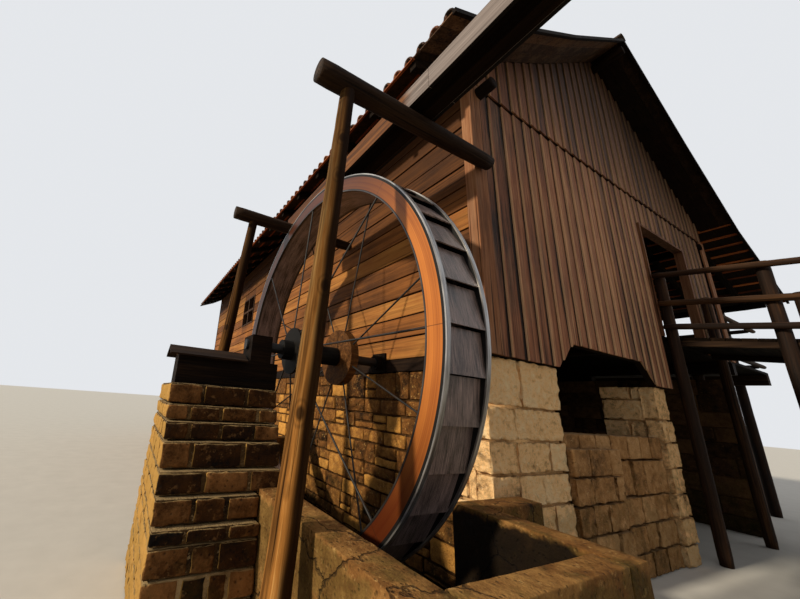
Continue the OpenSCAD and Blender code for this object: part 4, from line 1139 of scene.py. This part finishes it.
def under_tiles(p, side, y0, y1, depth0, depth1, s0, s1, slot=0):
    """A flat strip under the tiles, between two depths below their tops; s0 and s1 cut it short."""
    end = (EAVE_W if side < 0 else EAVE_E) - side * s1
    bends = (MID_X + side * KNEE, MID_X + side * FLARE)
    xs = [MID_X + side * s0] + [x for x in bends if side * (end - x) > 0] + [end]
    verts = []
    for x in xs:
        low, high = roof_at(x) - depth1, roof_at(x) - depth0
        verts += [(x, y0, low), (x, y1, low), (x, y1, high), (x, y0, high)]
    p.add(verts, tube(len(xs), side < 0), along=0, slot=slot)


# a dark sheet under the tiles: painted shade under the roof
p = Piece("roof_shade_sheet", 34)
for side in (-1, 1):
    under_tiles(p, side, -VERGE + 44, HOUSE_L + VERGE - 44, 84, 88, 2, 45)
p.build(["dark"], slot="dark_timber")

p = Piece("rake_soffits", 35)
for y0, y1 in ((-VERGE + 41, -62), (HOUSE_L + 62, HOUSE_L + VERGE - 41)):
    w = (y1 - y0) / 3
    for k in range(3):
        a, b = y0 + k * w + 1.5, y0 + (k + 1) * w - 1.5
        under_tiles(p, -1, a, b, 91, 109, 6, 12)
        # on the east slope the soffit boards take the dark timber as painted shade
        under_tiles(p, 1, a, b, 91, 109, 6, EAVE_E - HOUSE_W - 30, slot=1)
p.build(["soffit", "dark"], slot="dark_timber", bevel=2)

p = Piece("roof_battens", 32)
for side in (-1, 1):
    path, total, rows = slope_path(side)
    for row in range(rows + 1):
        c, d = along_path(path, min(max(row * total / rows - 30, 45), total - 30))
        over = VERGE - 41 if c[0] > HOUSE_W else -52
        verts = []
        for y in (-over, HOUSE_L + over):
            for a, b in ((-25, 106), (25, 106), (25, 89), (-25, 89)):
                x = c[0] + d[0] * a
                verts.append((x, y, roof_at(x) - b))
        p.add(verts, BOX if side < 0 else flipped(BOX), along=1)
p.build(["batten"], slot="wall_planks")

p = Piece("ridge_tiles", 33)
verts, faces = shell(10, 1.55, 118, 108, 15, 380, False, 10)
for i in range(RIDGE_TILES):
    y = -VERGE + (i + 1) * (HOUSE_L + 2 * VERGE) / RIDGE_TILES
    pts = verts + (MID_X, y, RIDGE_BASE)
    pts[:, 1] = np.clip(pts[:, 1], *TILES_Y)
    p.add(pts, faces, along=1)
p.build(["tile"], ["ridge_cap"], "clay_tiles", smooth=True)

# Carried-over nodes
for node, mat in (("pit_floor", "mortar_d"), ("bearing_beam", "dark_x"), ("wheel_bearings", "dark_x"),
                  ("sill_beams", "dark_xy"), ("door_frame", "frame"), ("window_frame", "dark_xz"),
                  ("rafters", "dark_x"), ("verge_boards", "dark_x"), ("wheel_shrouds", "rim"),
                  ("wheel_hoops", "hoop"), ("wheel_drum", "wet"), ("wheel_spokes", "iron"),
                  ("wheel_hub", "hub"), ("wheel_shaft", "iron")):
    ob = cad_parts[node]
    if not ob.material_slots:
        ob.data.materials.append(M[mat])
    for slot in ob.material_slots:
        slot.material = M[mat]

# Floor, light, camera
me = bpy.data.meshes.new("floor_stage")
me.from_pydata([(x, y, -0.002) for x, y in ((-90, -90), (90, -90), (90, 90), (-90, 90))], [], [(0, 1, 2, 3)])
s = Mat("floor_stage")
pale = s.ramp(s.noise(s.coords("xyz"), 3, 3), (0.3, "#cfcdc8"), (0.7, "#d6d4cf"))
camera_ray = s.put("LightPath").outputs["Is Camera Ray"]
me.materials.append(s.shade(s.mix(camera_ray, "#a8a08e", pale), 0.9))
floor = place("floor_stage", me)

world = bpy.data.worlds.new("studio")
bpy.context.scene.world = world
world.use_nodes = True
w = Nodes(world.node_tree)
rays = w.put("LightPath").outputs
seen = w.math("MAXIMUM", rays["Is Camera Ray"], rays["Is Glossy Ray"])
light = w.put("Background", {0: (1.0, 0.98, 0.95, 1), 1: 0.38}).outputs[0]
backdrop = w.put("Background", {0: (0.78, 0.80, 0.83, 1), 1: 1.0}).outputs[0]
mixer = w.put("MixShader", {0: seen, 1: light, 2: backdrop})
w.put("OutputWorld", {0: mixer.outputs[0]})

sun = bpy.data.lights.new("key", "SUN")
sun.energy, sun.angle, sun.color = 3.4, math.radians(3), (1.0, 0.87, 0.66)
lamp = place("key", sun)
to_sun = Vector((-0.985, 0.05, 0.45))
lamp.rotation_euler = to_sun.to_track_quat("Z", "Y").to_euler()

cam = bpy.data.cameras.new("camera")
cam.sensor_width, cam.sensor_fit, cam.lens = 36, "HORIZONTAL", 14.85
cam.shift_x, cam.shift_y = 0.119, 0.007
cam.clip_start, cam.clip_end = 0.05, 400
camera = place("camera", cam)
yaw, pitch, roll = (math.radians(a) for a in (25.94, 15.98, 4.42))
fwd = Vector((math.sin(yaw) * math.cos(pitch), math.cos(yaw) * math.cos(pitch), math.sin(pitch)))
right0 = Vector((math.cos(yaw), -math.sin(yaw), 0))
up0 = right0.cross(fwd)
right = right0 * math.cos(roll) + up0 * math.sin(roll)
up = up0 * math.cos(roll) - right0 * math.sin(roll)
camera.matrix_world = Matrix.Translation((-7.238, -6.994, 1.786)) @ Matrix(
    (right, up, -fwd)).transposed().to_4x4()
bpy.context.scene.camera = camera
bpy.context.scene.view_settings.view_transform = "Standard"

bpy.context.view_layer.update()
